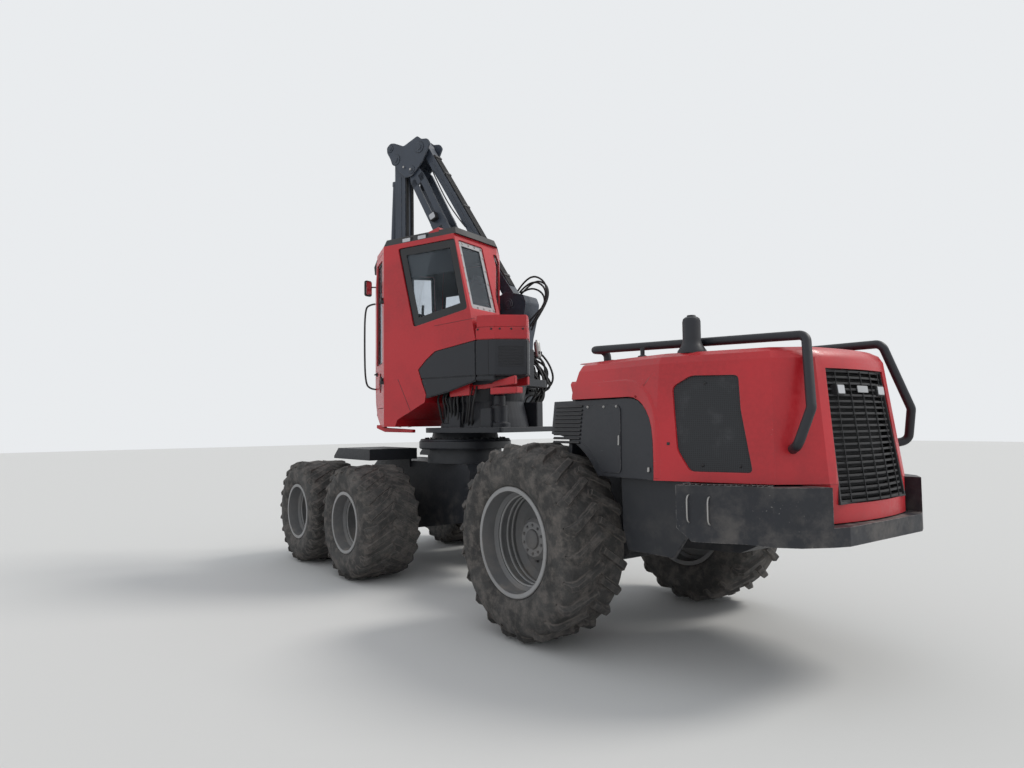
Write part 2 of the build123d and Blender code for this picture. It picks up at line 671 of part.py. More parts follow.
# Front frame: tongue of the steering joint, pedestal of the slewing ring, beam over the bogie axle and the nose
with BuildPart() as front_frame:
    with BuildSketch(side(0)):
        with BuildLine():
            Polyline(
                (JOINT_X + 260, JOINT_Z - 330),
                (BOGIE_X - 500, BOGIE_TYRE_R - 190),
                (BOGIE_X + 500, BOGIE_TYRE_R - 190),
                (NOSE_X - 200, BOGIE_TYRE_R + 40),
                (NOSE_X, BOGIE_TYRE_R + 160),
                (NOSE_X, NOSE_TOP - 60),
                (NOSE_X - 60, NOSE_TOP),
                (BOGIE_X + 900, NOSE_TOP),
                (BOGIE_X + 560, FRONT_DECK_Z),
                (JOINT_X + 330, FRONT_DECK_Z),
                (JOINT_X + 260, FRONT_DECK_Z - 90),
                close=True,
            )
        make_face()
    extrude(amount=FRONT_FRAME_HALF_W, both=True)
    with BuildSketch(Plane.XY.offset(FRONT_DECK_Z)):
        with Locations((SLEW_X, 0)):
            Circle(PEDESTAL_R)
    extrude(amount=PEDESTAL_TOP - FRONT_DECK_Z, taper=6)
    extrude(front_frame.faces().sort_by(Axis.Z)[-1], amount=-120)
    with BuildSketch(Plane.XY.offset(JOINT_Z - TONGUE_H / 2)):
        with Locations((JOINT_X + 130, 0)):
            Rectangle(260, 2 * EAR_R)
        with Locations((JOINT_X, 0)):
            Circle(EAR_R)
    extrude(amount=TONGUE_H)
    with BuildSketch(Plane.XY.offset(JOINT_Z - TONGUE_H / 2 - 1)):
        with Locations((JOINT_X, 0)):
            Circle(JOINT_PIN_R + SEAT_GAP)
    extrude(amount=TONGUE_H + 2, mode=Mode.SUBTRACT)
    with BuildSketch(Plane.XY.offset(PEDESTAL_TOP - 130)):
        with Locations((SLEW_X, 0)):
            Circle(PEDESTAL_BORE)
    extrude(amount=131, mode=Mode.SUBTRACT)
    with BuildSketch(side(0)):
        with Locations((BOGIE_X, BOGIE_TYRE_R)):
            Circle(BOGIE_PIVOT_R + SEAT_GAP)
    extrude(amount=FRONT_FRAME_HALF_W + 1, both=True, mode=Mode.SUBTRACT)
    # Lugs for the steering cylinders' rods
    for hand in (1, -1):
        for lug_z in (STEER_Z + 40, STEER_Z - 65):
            with BuildSketch(Plane.XY.offset(lug_z)):
                with Locations((JOINT_X + STEER_FRONT + 45, hand * STEER_Y)):
                    Rectangle(200, 120)
            extrude(amount=25)
    # Tow eye on the nose, bored upright
    with BuildSketch(Plane.XY.offset(TOW_Z)):
        with Locations((NOSE_X + TOW_EYE_OUT / 2 - 10, 0)):
            Rectangle(TOW_EYE_OUT + 20, 2 * TOW_EYE_R)
        with Locations((NOSE_X + TOW_EYE_OUT, 0)):
            Circle(TOW_EYE_R)
    extrude(amount=TOW_EYE_W / 2, both=True)
    with BuildSketch(Plane.XY.offset(TOW_Z)):
        with Locations((NOSE_X + TOW_EYE_OUT, 0)):
            Circle(TOW_BORE_R)
    extrude(amount=TOW_EYE_W / 2 + 1, both=True, mode=Mode.SUBTRACT)
write(front_frame.part, "front_frame")

# Bogie cases on their axle, with the necks and spindles of the wheels
with BuildPart() as bogies:
    with BuildSketch(side(0)):
        with Locations((BOGIE_X, BOGIE_TYRE_R)):
            Circle(BOGIE_PIVOT_R)
    extrude(amount=BOGIE_CASE_IN, both=True)
    for hand in (1, -1):
        with BuildSketch(side(hand * BOGIE_CASE_IN)):
            with Locations((BOGIE_X, BOGIE_TYRE_R)):
                Circle(270)
            with Locations((BOGIE_X, BOGIE_TYRE_R)):
                SlotCenterToCenter(BOGIE_BASE, 380)
        extrude(amount=-hand * (BOGIE_CASE_OUT - BOGIE_CASE_IN))
        for wheel_x in (BOGIE_X - BOGIE_BASE / 2, BOGIE_X + BOGIE_BASE / 2):
            with BuildSketch(side(hand * BOGIE_CASE_OUT)):
                with Locations((wheel_x, BOGIE_TYRE_R)):
                    Circle(160)
            extrude(amount=-hand * (DISC_X - PIN_GAP - BOGIE_CASE_OUT))
            with BuildSketch(side(hand * (DISC_X - PIN_GAP))):
                with Locations((wheel_x, BOGIE_TYRE_R)):
                    Circle(SPINDLE_R)
            extrude(amount=-hand * (HUB_LENGTH - 60 + PIN_GAP))
write(bogies.part, "bogies")

# Deck boxes beside the front frame
with BuildPart() as deck_boxes:
    for hand in (1, -1):
        with BuildSketch(side(hand * FRONT_FRAME_HALF_W)):
            with BuildLine():
                Polyline(
                    (BOGIE_X - 520, FRONT_DECK_Z + 30),
                    (BOGIE_X - 520, FRONT_DECK_Z + 170),
                    (BOGIE_X + 420, FRONT_DECK_Z + 170),
                    (BOGIE_X + 560, FRONT_DECK_Z + 60),
                    (BOGIE_X + 560, FRONT_DECK_Z + 30),
                    close=True,
                )
            make_face()
        extrude(amount=-hand * (SIDE_BOX_OUT - FRONT_FRAME_HALF_W))
        # Hanger plate down the frame's side
        with BuildSketch(side(hand * FRONT_FRAME_HALF_W)):
            with Locations((BOGIE_X - 20, FRONT_DECK_Z - 20)):
                Rectangle(700, 120)
        extrude(amount=-hand * 24)
write(deck_boxes.part, "deck_boxes")


def axis_plane(view, foot, head):
    """Plane in the view's own plane with x from foot to head."""
    a = view.from_local_coords((*foot, 0))
    b = view.from_local_coords((*head, 0))
    return Plane(origin=a, x_dir=(b - a).normalized(), z_dir=view.z_dir)


def cylinder_barrel(view, foot, head, length, barrel_r, rod_r, eye_w, pin_r):
    """Barrel with its foot eye bored for a pin, and a bore for the rod."""
    at = axis_plane(view, foot, head)
    axis = Axis(at.origin, at.x_dir)
    eye_r = pin_r + 32
    with BuildPart() as barrel:
        with BuildSketch(at):
            with BuildLine():
                Polyline(
                    (eye_r - 12, 0),
                    (eye_r - 12, barrel_r * 0.6),
                    (eye_r + 30, barrel_r),
                    (length - 60, barrel_r),
                    (length - 58, barrel_r + 9),
                    (length, barrel_r + 9),
                    (length, rod_r + 0.4),
                    (eye_r + 40, rod_r + 0.4),
                    (eye_r + 40, 0),
                    close=True,
                )
            make_face()
        revolve(axis=axis)
        with BuildSketch(at):
            Circle(eye_r)
        extrude(amount=eye_w / 2, both=True)
        with BuildSketch(at):
            Circle(pin_r + SEAT_GAP)
        extrude(amount=eye_w, both=True, mode=Mode.SUBTRACT)
    return barrel.part


def cylinder_rod(view, foot, head, start, rod_r, eye_w, eye_r):
    """Rod from inside the barrel to its eye at head."""
    at = axis_plane(view, foot, head)
    reach = hypot(head[0] - foot[0], head[1] - foot[1])
    with BuildPart() as rod:
        with BuildSketch(at):
            with BuildLine():
                Polyline((start, 0), (start, rod_r), (reach - eye_r + 10, rod_r), (reach - eye_r + 10, 0), close=True)
            make_face()
        revolve(axis=Axis(at.origin, at.x_dir))
        with BuildSketch(at):
            with Locations((reach, 0)):
                Circle(eye_r)
        extrude(amount=eye_w / 2, both=True)
    return rod.part


# Steering cylinders, flat beside the joint
for name, hand in (("left", 1), ("right", -1)):
    plan = Plane.XY.offset(STEER_Z)
    foot = (JOINT_X - STEER_BACK, hand * STEER_Y)
    head = (JOINT_X + STEER_FRONT, hand * STEER_Y)
    write(cylinder_barrel(plan, foot, head, STEER_BARREL, 55, 28, 70, STEER_PIN_R), f"steer_barrel_{name}")
    write(cylinder_rod(plan, foot, head, STEER_BARREL - 205, 28, 68, 50), f"steer_rod_{name}")

# Turntable: the slewing ring, the base plate above it and the tilting frame under the cab
with BuildPart() as turntable:
    with BuildSketch(Plane.XY.offset(PEDESTAL_TOP - 110)):
        with Locations((SLEW_X, 0)):
            Circle(PEDESTAL_BORE - SEAT_GAP)
    extrude(amount=110 + RING_GAP)
    with BuildSketch(Plane.XY.offset(PEDESTAL_TOP + RING_GAP)):
        with Locations((SLEW_X, 0)):
            Circle(RING_R)
    extrude(amount=RING_H)
    with BuildSketch(Plane.XY.offset(PEDESTAL_TOP + RING_GAP + RING_H)):
        with Locations((SLEW_X, 0)):
            Circle(RING_R - 110)
    extrude(amount=BASE_Z - PEDESTAL_TOP - RING_GAP - RING_H)
    with BuildSketch(slew_top(BASE_Z)):
        with BuildLine():
            Polyline((-950, -960), (-60, -960), (250, -560), (250, 480), (60, 600), (-950, 600), close=True)
        make_face()
    extrude(amount=BASE_T)
    with BuildSketch(slew_top(BASE_Z + BASE_T)):
        with BuildLine():
            Polyline((-880, -560), (-40, -560), (-40, 560), (-880, 560), close=True)
        make_face()
    extrude(amount=CAB_BASE_Z - BASE_Z - BASE_T)
write(turntable.part, "turntable")

# Cab: side outline and plan outline, the shell being their intersection
CAB_SIDE = [
    (-700, 2745),
    (-110, 2655),
    (100, 2540),
    (50, 1975),
    (280, 1960),
    (570, 1735),
    (1120, 1750),
    (1250, 2100),
    (1250, 3600),
    (1130, CAB_ROOF_Z),
    (-400, CAB_ROOF_Z),
    (-630, 3090),
]
CAB_PLAN = [
    (-1000, CAB_LEFT),
    (700, CAB_LEFT),
    (1250, 300),
    (1250, -200),
    (900, CAB_RIGHT),
    (-150, CAB_RIGHT),
    (-560, 120),
    (-1000, 120),
]


def cab_block(inset):
    """Solid cab form drawn in by inset on every face."""
    with BuildPart() as block:
        with BuildSketch(slew_side(CAB_LEFT + 10)):
            with BuildLine():
                Polyline(*CAB_SIDE, close=True)
            make_face()
            if inset:
                offset(amount=-inset, kind=Kind.INTERSECTION)
        extrude(amount=CAB_LEFT - CAB_RIGHT + 20)
        with BuildSketch(slew_top(1000)):
            with BuildLine():
                Polyline(*CAB_PLAN, close=True)
            make_face()
            if inset:
                offset(amount=-inset, kind=Kind.INTERSECTION)
        extrude(amount=4000, mode=Mode.INTERSECT)
    return block.part


# Windows: name, plan points of the wall they sit in, corners in (distance along the wall, height)
WALL_LEFT = (CAB_PLAN[1], CAB_PLAN[0])
WALL_DOOR = (CAB_PLAN[2], CAB_PLAN[1])
WALL_FRONT = (CAB_PLAN[3], CAB_PLAN[2])
WALL_RIGHT_FRONT = (CAB_PLAN[4], CAB_PLAN[3])
WALL_RIGHT = (CAB_PLAN[5], CAB_PLAN[4])
WALL_REAR_RIGHT = (CAB_PLAN[6], CAB_PLAN[5])

REAR_FACE = Plane(
    origin=slew.from_local_coords((CAB_SIDE[11][0], CAB_LEFT, CAB_SIDE[11][1])),
    x_dir=-slew.y_dir,
    z_dir=(slew.z_dir * (CAB_SIDE[10][0] - CAB_SIDE[11][0]) - slew.x_dir * (CAB_ROOF_Z - CAB_SIDE[11][1])).normalized(),
)
WINDOWS = [
    (slew_wall(*WALL_LEFT), [(235, 3950), (1110, 3950), (1290, 3110), (480, 2965)]),
    (slew_wall(*WALL_FRONT), [(30, 2180), (470, 2180), (470, 3570), (30, 3570)]),
    (slew_wall(*WALL_RIGHT_FRONT), [(30, 2500), (480, 2500), (440, 3860), (60, 3860)]),
    (slew_wall(*WALL_RIGHT), [(60, 3050), (980, 2860), (920, 3920), (100, 3920)]),
    (slew_wall(*WALL_REAR_RIGHT), [(110, 3120), (730, 3120), (700, 3900), (200, 3900)]),
    (REAR_FACE, [(45, 30), (540, 30), (540, 880), (60, 880)]),
]


def prism(plane, corners, inner, outer, grow=0):
    """Solid between depths inner and outer, along the plane's normal, of a polygon in it, grown by grow."""
    with BuildPart() as solid:
        with BuildSketch(plane.offset(inner)):
            with BuildLine():
                Polyline(*corners, close=True)
            make_face()
            if grow:
                offset(amount=grow, kind=Kind.INTERSECTION)
        extrude(amount=outer - inner)
    return solid.part


DOOR_PIN_ALONG = 656
DOOR_PIN_OUT = 26
DOOR_PIN_R = 10
DOOR_HINGES = [2300, 3300]


def plan_of(wall, along, out):
    """Plan point, from the wall's foot, at a distance along the wall and outwards."""
    at = wall.x_dir * along + wall.z_dir * out
    return (at.X, at.Y)


DOOR_OUTLINE = [(40, 2010), (640, 2010), (640, 3940), (90, 3940), (40, 3560)]
DOOR_GLASS = [(110, 2330), (570, 2330), (570, 3870), (140, 3870), (110, 3520)]


door_wall = slew_wall(*WALL_DOOR)
with BuildPart() as cab_shell:
    add(cab_block(0))
    add(cab_block(CAB_WALL), mode=Mode.SUBTRACT)
    for plane, corners in WINDOWS:
        add(prism(plane, corners, -CAB_WALL - 30, 30), mode=Mode.SUBTRACT)
    add(prism(door_wall, DOOR_OUTLINE, -CAB_WALL - 30, 30, grow=DOOR_GAP), mode=Mode.SUBTRACT)
    # Hinge lugs with their pins
    for z in DOOR_HINGES:
        add(prism(door_wall, [(650, z), (690, z), (690, z + 40), (650, z + 40)], -5, DOOR_PIN_OUT + 14))
        with BuildSketch(Plane(origin=door_wall.from_local_coords((DOOR_PIN_ALONG, z, DOOR_PIN_OUT)))):
            Circle(DOOR_PIN_R + 8)
        extrude(amount=40)
        with BuildSketch(Plane(origin=door_wall.from_local_coords((DOOR_PIN_ALONG, z, DOOR_PIN_OUT)))):
            Circle(DOOR_PIN_R)
        extrude(amount=95)
write(cab_shell.part, "cab_shell")

with BuildPart() as cab_glass:
    for plane, corners in WINDOWS:
        add(prism(plane, corners, -CAB_WALL + 12, -CAB_WALL + 12 + WINDOW_GLASS))
write(cab_glass.part, "cab_glass")

with BuildPart() as cab_door:
    add(prism(door_wall, DOOR_OUTLINE, -CAB_WALL, 0))
    add(prism(door_wall, DOOR_GLASS, -CAB_WALL - 5, 5), mode=Mode.SUBTRACT)
    # Hinge straps above the shell's lugs
    for z in DOOR_HINGES:
        low = z + 40 + 1
        add(prism(door_wall, [(590, low), (640, low), (640, low + 40), (590, low + 40)], -5, DOOR_PIN_OUT + 8))
        with BuildSketch(Plane(origin=door_wall.from_local_coords((0, low, 0)))):
            with BuildLine():
                strap = [(638, DOOR_PIN_OUT - 8), (638, DOOR_PIN_OUT + 8), (DOOR_PIN_ALONG, DOOR_PIN_OUT + 8)]
                strap.append((DOOR_PIN_ALONG, DOOR_PIN_OUT - 8))
                Polyline(*[plan_of(door_wall, *point) for point in strap], close=True)
            make_face()
            with Locations(plan_of(door_wall, DOOR_PIN_ALONG, DOOR_PIN_OUT)):
                Circle(DOOR_PIN_R + 8)
            with Locations(plan_of(door_wall, DOOR_PIN_ALONG, DOOR_PIN_OUT)):
                Circle(DOOR_PIN_R + SEAT_GAP, mode=Mode.SUBTRACT)
        extrude(amount=40)
write(cab_door.part, "cab_door")

with BuildPart() as door_glass:
    add(prism(door_wall, DOOR_GLASS, -CAB_WALL + 12, -CAB_WALL + 12 + WINDOW_GLASS))
write(door_glass.part, "door_glass")

with BuildPart() as cab_roof:
    with BuildSketch(slew_top(CAB_ROOF_Z)):
        with BuildLine():
            Polyline(
                (-430, -120),
                (-150, CAB_RIGHT),
                (880, CAB_RIGHT),
                (1160, -230),
                (1160, 340),
                (700, CAB_LEFT),
                (-430, CAB_LEFT),
                close=True,
            )
        make_face()
    extrude(amount=ROOF_T, taper=25)
write(cab_roof.part, "cab_roof")

# Black equipment box under and behind the cab, with the red band over its rear part
with BuildPart() as rear_box:
    with BuildSketch(slew_side(CAB_LEFT)):
        with BuildLine():
            Polyline((-700, CAB_BASE_Z), (-700, 2745), (-110, 2655), (100, 2540), (74, CAB_BASE_Z), close=True)
        make_face()
    extrude(amount=CAB_LEFT - CAB_RIGHT)
    with BuildSketch(slew_top(CAB_BASE_Z - 10)):
        with BuildLine():
            Polyline((-1000, CAB_LEFT), (700, CAB_LEFT), (900, CAB_RIGHT), (-150, CAB_RIGHT), (-1000, -520), close=True)
        make_face()
    extrude(amount=800, mode=Mode.INTERSECT)
    with BuildSketch(slew_top(CAB_BASE_Z)):
        with BuildLine():
            Polyline((-700, CAB_LEFT), (-1215, 320), (-1215, -420), (-700, -420), close=True)
        make_face()
    extrude(amount=2745 - CAB_BASE_Z)
write(rear_box.part, "rear_box")

with BuildPart() as rear_band:
    with BuildSketch(slew_top(2745)):
        with BuildLine():
            Polyline((-700.5, CAB_LEFT), (-1225, 325), (-1225, -420), (-700.5, -420), close=True)
        make_face()
    extrude(amount=275)
write(rear_band.part, "rear_band")

# Operator's seat on its pedestal, with the two arm consoles
with BuildPart() as cab_seat:
    with BuildSketch(slew_top(CAB_BASE_Z)):
        with Locations((-40, 70)):
            Rectangle(220, 260)
    extrude(amount=2840 - CAB_BASE_Z)
    add(cab_block(CAB_WALL), mode=Mode.INTERSECT)
    with BuildSketch(slew_side(70)):
        with BuildLine():
            Polyline(
                (-210, 2840),
                (290, 2840),
                (320, 2900),
                (280, 2960),
                (-110, 2940),
                (-250, 3560),
                (-330, 3560),
                (-340, 3500),
                (-210, 2900),
                close=True,
            )
        make_face()
    extrude(amount=250, both=True)
    for hand in (1, -1):
        with BuildSketch(slew_side(70 + hand * 300)):
            with BuildLine():
                Polyline(
                    (-150, 2880),
                    (100, 2880),
                    (110, 3010),
                    (330, 3060),
                    (430, 3150),
                    (400, 3190),
                    (300, 3120),
                    (-150, 3070),
                    close=True,
                )
            make_face()
        extrude(amount=60, both=True)
write(cab_seat.part, "cab_seat")

# Crane pillar with the ears of the boom foot, the parallel link and the lift cylinder
crane = slew_side(CRANE_V)
with BuildPart() as crane_pillar:
    with BuildSketch(crane):
        with BuildLine():
            Polyline(
                (-600, BASE_Z + BASE_T),
                (-520, 2900),
                (-640, 3250),
                (-560, 3560),
                (-150, 3570),
                (-60, 3350),
                (190, 3080),
                (190, 2920),
                (20, 2800),
                (150, 2520),
                (120, 2370),
                (-60, 2330),
                (-60, BASE_Z + BASE_T),
                close=True,
            )
        make_face()
    extrude(amount=PILLAR_W / 2, both=True)
    # Slot for the boom foot, the links and the lift cylinder
    with BuildSketch(crane):
        with BuildLine():
            Polyline((-460, 3130), (-460, 3700), (400, 3700), (400, 2300), (-110, 2300), (-110, 2900), close=True)
        make_face()
    extrude(amount=BOOM_WIDTH / 2 + PIN_GAP, both=True, mode=Mode.SUBTRACT)
    for pin, pin_r in ((BOOM_FOOT, BOOM_PIN_R), (LIFT_FOOT, PIN_R)):
        with BuildSketch(crane):
            with Locations(pin):
                Circle(pin_r)
        extrude(amount=PILLAR_W / 2 + 12, both=True)
    # The link's two bars sit on stub pins, so that the lift cylinder passes between them
    for hand in (1, -1):
        with BuildSketch(crane.offset(hand * (LINK_MID - LINK_T / 2))):
            with Locations(LINK_FOOT):
                Circle(PIN_R)
        extrude(amount=hand * (PILLAR_W / 2 + 12 - LINK_MID + LINK_T / 2))
write(crane_pillar.part, "crane_pillar")


def boom_point(along, up):
    """Point in the crane's side view at a distance along the main boom and up from its centre line."""
    return polar(polar(BOOM_FOOT, along, BOOM_ANGLE), up, BOOM_ANGLE + 90)


LIFT_HEAD = boom_point(LIFT_ALONG, -LIFT_BELOW)
with BuildPart() as main_boom:
    with BuildSketch(crane):
        with BuildLine():
            Polyline(
                boom_point(0, BOOM_FOOT_DEPTH / 2),
                boom_point(-110, 90),
                boom_point(-110, -90),
                boom_point(0, -BOOM_FOOT_DEPTH / 2 + 40),
                boom_point(700, -BOOM_FOOT_DEPTH / 2 + 20),
                boom_point(BOOM_LENGTH, -BOOM_TIP_DEPTH / 2 + 20),
                boom_point(BOOM_LENGTH + 85, -60),
                boom_point(BOOM_LENGTH + 85, 60),
                boom_point(BOOM_LENGTH, BOOM_TIP_DEPTH / 2),
                close=True,
            )
        make_face()
    extrude(amount=BOOM_WIDTH / 2, both=True)
    # Lug plates under the boom for the lift cylinder's rod
    with BuildSketch(crane):
        with BuildLine():
            Polyline(
                boom_point(LIFT_ALONG - 200, -100),
                boom_point(LIFT_ALONG - 50, -LIFT_BELOW - 55),
                boom_point(LIFT_ALONG + 50, -LIFT_BELOW - 55),
                boom_point(LIFT_ALONG + 200, -100),
                close=True,
            )
        make_face()
    extrude(amount=LIFT_EAR_W / 2 + 20, both=True)
    with BuildSketch(crane):
        with Locations(LIFT_HEAD):
            Circle(120)
    extrude(amount=LIFT_EAR_W / 2, both=True, mode=Mode.SUBTRACT)
    with BuildSketch(crane):
        with Locations(BOOM_FOOT):
            Circle(BOOM_PIN_R + SEAT_GAP)
        with Locations(KNEE):
            Circle(BOOM_PIN_R + SEAT_GAP)
    extrude(amount=BOOM_WIDTH / 2 + 1, both=True, mode=Mode.SUBTRACT)
write(main_boom.part, "main_boom")

lift_reach = hypot(LIFT_HEAD[0] - LIFT_FOOT[0], LIFT_HEAD[1] - LIFT_FOOT[1])
write(cylinder_barrel(crane, LIFT_FOOT, LIFT_HEAD, LIFT_BARREL, 69, 42, 150, PIN_R), "lift_barrel")
write(cylinder_rod(crane, LIFT_FOOT, LIFT_HEAD, LIFT_BARREL - 120, 42, LIFT_EAR_W - 2 * PIN_GAP, 62), "lift_rod")

# Parallel link: two bars, one each side of the lift cylinder, joined by a cross tube
link_at = axis_plane(crane, LINK_FOOT, LINK_HEAD)
link_reach = hypot(LINK_HEAD[0] - LINK_FOOT[0], LINK_HEAD[1] - LINK_FOOT[1])
with BuildPart() as parallel_link:
    for hand in (1, -1):
        with BuildSketch(link_at.offset(hand * LINK_MID)):
            with Locations((link_reach / 2, 0)):
                Rectangle(link_reach, 84)
            with Locations((0, 0), (link_reach, 0)):
                Circle(62)
            with Locations((0, 0)):
                Circle(PIN_R + SEAT_GAP, mode=Mode.SUBTRACT)
        extrude(amount=LINK_T / 2, both=True)
    with BuildSketch(link_at):
        with Locations((link_reach - 260, 0)):
            Circle(30)
    extrude(amount=LINK_MID, both=True)
write(parallel_link.part, "parallel_link")

# Knee lever: two plates that carry the boom's tip, the link's head and the outer boom
JIB_HEAD = polar(STICK_PIN, JIB_HEAD_R, JIB_HEAD_ANGLE)
with BuildPart() as knee_lever:
    for hand in (1, -1):
        with BuildSketch(crane.offset(hand * LEVER_MID)):
            with BuildLine():
                Polyline(
                    (KNEE[0] - 110, KNEE[1] - 20),
                    (KNEE[0] - 40, KNEE[1] + 110),
                    (KNEE[0] + 170, KNEE[1] + 230),
                    (JIB_HEAD[0], JIB_HEAD[1] + 85),
                    (JIB_HEAD[0] + 80, JIB_HEAD[1]),
                    (STICK_PIN[0] + 90, STICK_PIN[1] - 60),
                    (STICK_PIN[0] - 10, STICK_PIN[1] - 110),
                    (LINK_HEAD[0] + 50, LINK_HEAD[1] - 90),
                    (LINK_HEAD[0] - 90, LINK_HEAD[1] - 30),
                    close=True,
                )
            make_face()
        extrude(amount=PLATE / 2, both=True)
    with BuildSketch(crane):
        with Locations(KNEE):
            Circle(BOOM_PIN_R)
        with Locations(STICK_PIN):
            Circle(BOOM_PIN_R)
    extrude(amount=LEVER_MID + PLATE / 2 + 14, both=True)
    with BuildSketch(crane):
        with Locations((KNEE[0] + 300, KNEE[1] + 130)):
            Rectangle(160, 40, rotation=-12)
    extrude(amount=LEVER_MID, both=True)
    # Caps of the pins that hold the link and the jib cylinder
    for pin in (LINK_HEAD, JIB_HEAD):
        for hand in (1, -1):
            with BuildSketch(crane.offset(hand * (LEVER_MID + PLATE / 2 + 6))):
                with Locations(pin):
                    Circle(PIN_R)
            extrude(amount=8, both=True)
write(knee_lever.part, "knee_lever")

# Outer boom: a hollow box that the telescope slides in
with BuildPart() as outer_boom:
    with BuildSketch(crane):
        with BuildLine():
            Polyline(
                (STICK_CENTRE - STICK_DEPTH / 2, STICK_BOTTOM),
                (STICK_CENTRE - STICK_DEPTH / 2, STICK_PIN[1] - 330),
                (STICK_PIN[0] - 90, STICK_PIN[1] - 60),
                (STICK_PIN[0] - 60, STICK_PIN[1] + 60),
                (STICK_PIN[0], STICK_PIN[1] + 85),
                (STICK_PIN[0] + 50, STICK_PIN[1] + 60),
                (STICK_PIN[0] + 60, STICK_PIN[1] - 60),
                (STICK_PIN[0] + 30, STICK_PIN[1] - 400),
                (STICK_CENTRE + STICK_DEPTH / 2, STICK_PIN[1] - 800),
                (STICK_CENTRE + STICK_DEPTH / 2, STICK_BOTTOM),
                close=True,
            )
        make_face()
    extrude(amount=STICK_WIDTH / 2, both=True)
    with BuildSketch(crane):
        with Locations((STICK_CENTRE, STICK_BOTTOM - 10)):
            Rectangle(
                STICK_DEPTH - 2 * STICK_WALL,
                STICK_PIN[1] - 850 - STICK_BOTTOM,
                align=(Align.CENTER, Align.MIN),
            )
    extrude(amount=STICK_WIDTH / 2 - STICK_WALL, both=True, mode=Mode.SUBTRACT)
    with BuildSketch(crane):
        with Locations(STICK_PIN):
            Circle(BOOM_PIN_R + SEAT_GAP)
    extrude(amount=STICK_WIDTH, both=True, mode=Mode.SUBTRACT)
    # Ears and pin of the jib cylinder's foot, on the outer face
    for hand in (1, -1):
        with BuildSketch(crane.offset(hand * (JIB_EAR_W / 2 + 12))):
            with BuildLine():
                Polyline(
                    (STICK_CENTRE + STICK_DEPTH / 2 - 1, JIB_FOOT[1] - 190),
                    (JIB_FOOT[0] + 60, JIB_FOOT[1] - 40),
                    (JIB_FOOT[0] + 60, JIB_FOOT[1] + 40),
                    (STICK_CENTRE + STICK_DEPTH / 2 - 1, JIB_FOOT[1] + 190),
                    close=True,
                )
            make_face()
        extrude(amount=12, both=True)
    with BuildSketch(crane):
        with Locations(JIB_FOOT):
            Circle(PIN_R)
    extrude(amount=JIB_EAR_W / 2 + 34, both=True)
write(outer_boom.part, "outer_boom")

write(cylinder_barrel(crane, JIB_FOOT, JIB_HEAD, JIB_BARREL, 48, 28, JIB_EAR_W - 2 * PIN_GAP, PIN_R), "jib_barrel")
write(cylinder_rod(crane, JIB_FOOT, JIB_HEAD, JIB_BARREL - 160, 28, 90, 50), "jib_rod")

# Telescope inside the outer boom, with the fork of the tip pin
with BuildPart() as telescope:
    with BuildSketch(crane):
        with Locations((STICK_CENTRE, STICK_TIP_Z + 90)):
            Rectangle(
                STICK_DEPTH - 2 * STICK_WALL - 1,
                STICK_PIN[1] - 950 - STICK_TIP_Z,
                align=(Align.CENTER, Align.MIN),
            )
    extrude(amount=STICK_WIDTH / 2 - STICK_WALL - 0.5, both=True)
    with BuildSketch(crane):
        with Locations((STICK_CENTRE, STICK_TIP_Z + 80)):
            Rectangle(150, 160)
        with Locations((STICK_CENTRE, STICK_TIP_Z)):
            Circle(75)
    extrude(amount=90, both=True)
    with BuildSketch(crane):
        with Locations((STICK_CENTRE, STICK_TIP_Z)):
            Rectangle(2 * STICK_DEPTH, 2 * TELESCOPE_SLOT)
    extrude(amount=HANGER_W / 2 + PIN_GAP, both=True, mode=Mode.SUBTRACT)
    with BuildSketch(crane):
        with Locations((STICK_CENTRE, STICK_TIP_Z)):
            Circle(PIN_R)
    extrude(amount=100, both=True)
write(telescope.part, "telescope")

# Hanger link between the tip pin and the rotator
HEAD_AT = slew.from_local_coords((STICK_CENTRE, CRANE_V, 0))
with BuildPart() as hanger_link:
    with BuildSketch(crane):
        with Locations((STICK_CENTRE, STICK_TIP_Z)):
            Circle(62)
        with Locations((STICK_CENTRE, (STICK_TIP_Z + ROTATOR_TOP) / 2)):
            Rectangle(110, STICK_TIP_Z - ROTATOR_TOP)
        with Locations((STICK_CENTRE, STICK_TIP_Z)):
            Circle(PIN_R + SEAT_GAP, mode=Mode.SUBTRACT)
    extrude(amount=HANGER_W / 2, both=True)
    with BuildSketch(Plane(origin=HEAD_AT + Vector(0, 0, ROTATOR_TOP))):
        Circle(108)
    extrude(amount=-ROTATOR_H)
    with BuildSketch(Plane(origin=HEAD_AT + Vector(0, 0, ROTATOR_TOP - ROTATOR_H - 60))):
        Circle(45)
    extrude(amount=60)
write(hanger_link.part, "hanger_link")

head_heading = radians(HEAD_HEADING)


def head_top(z):
    """Plan view of the harvester head at height z: x along the stem that it holds, y to its left."""
    return Plane(origin=HEAD_AT + Vector(0, 0, z), x_dir=(cos(head_heading), sin(head_heading), 0), z_dir=(0, 0, 1))


def head_side(y):
    """Side view of the head at y to its left: x along the stem, y up."""
    top = head_top(0)
    return Plane(origin=top.from_local_coords((0, y, 0)), x_dir=top.x_dir, z_dir=-top.y_dir)


def head_end(x):
    """End view of the head at x along the stem: x to its left, y up."""
    top = head_top(0)
    return Plane(origin=top.from_local_coords((x, 0, 0)), x_dir=top.y_dir, z_dir=top.x_dir)


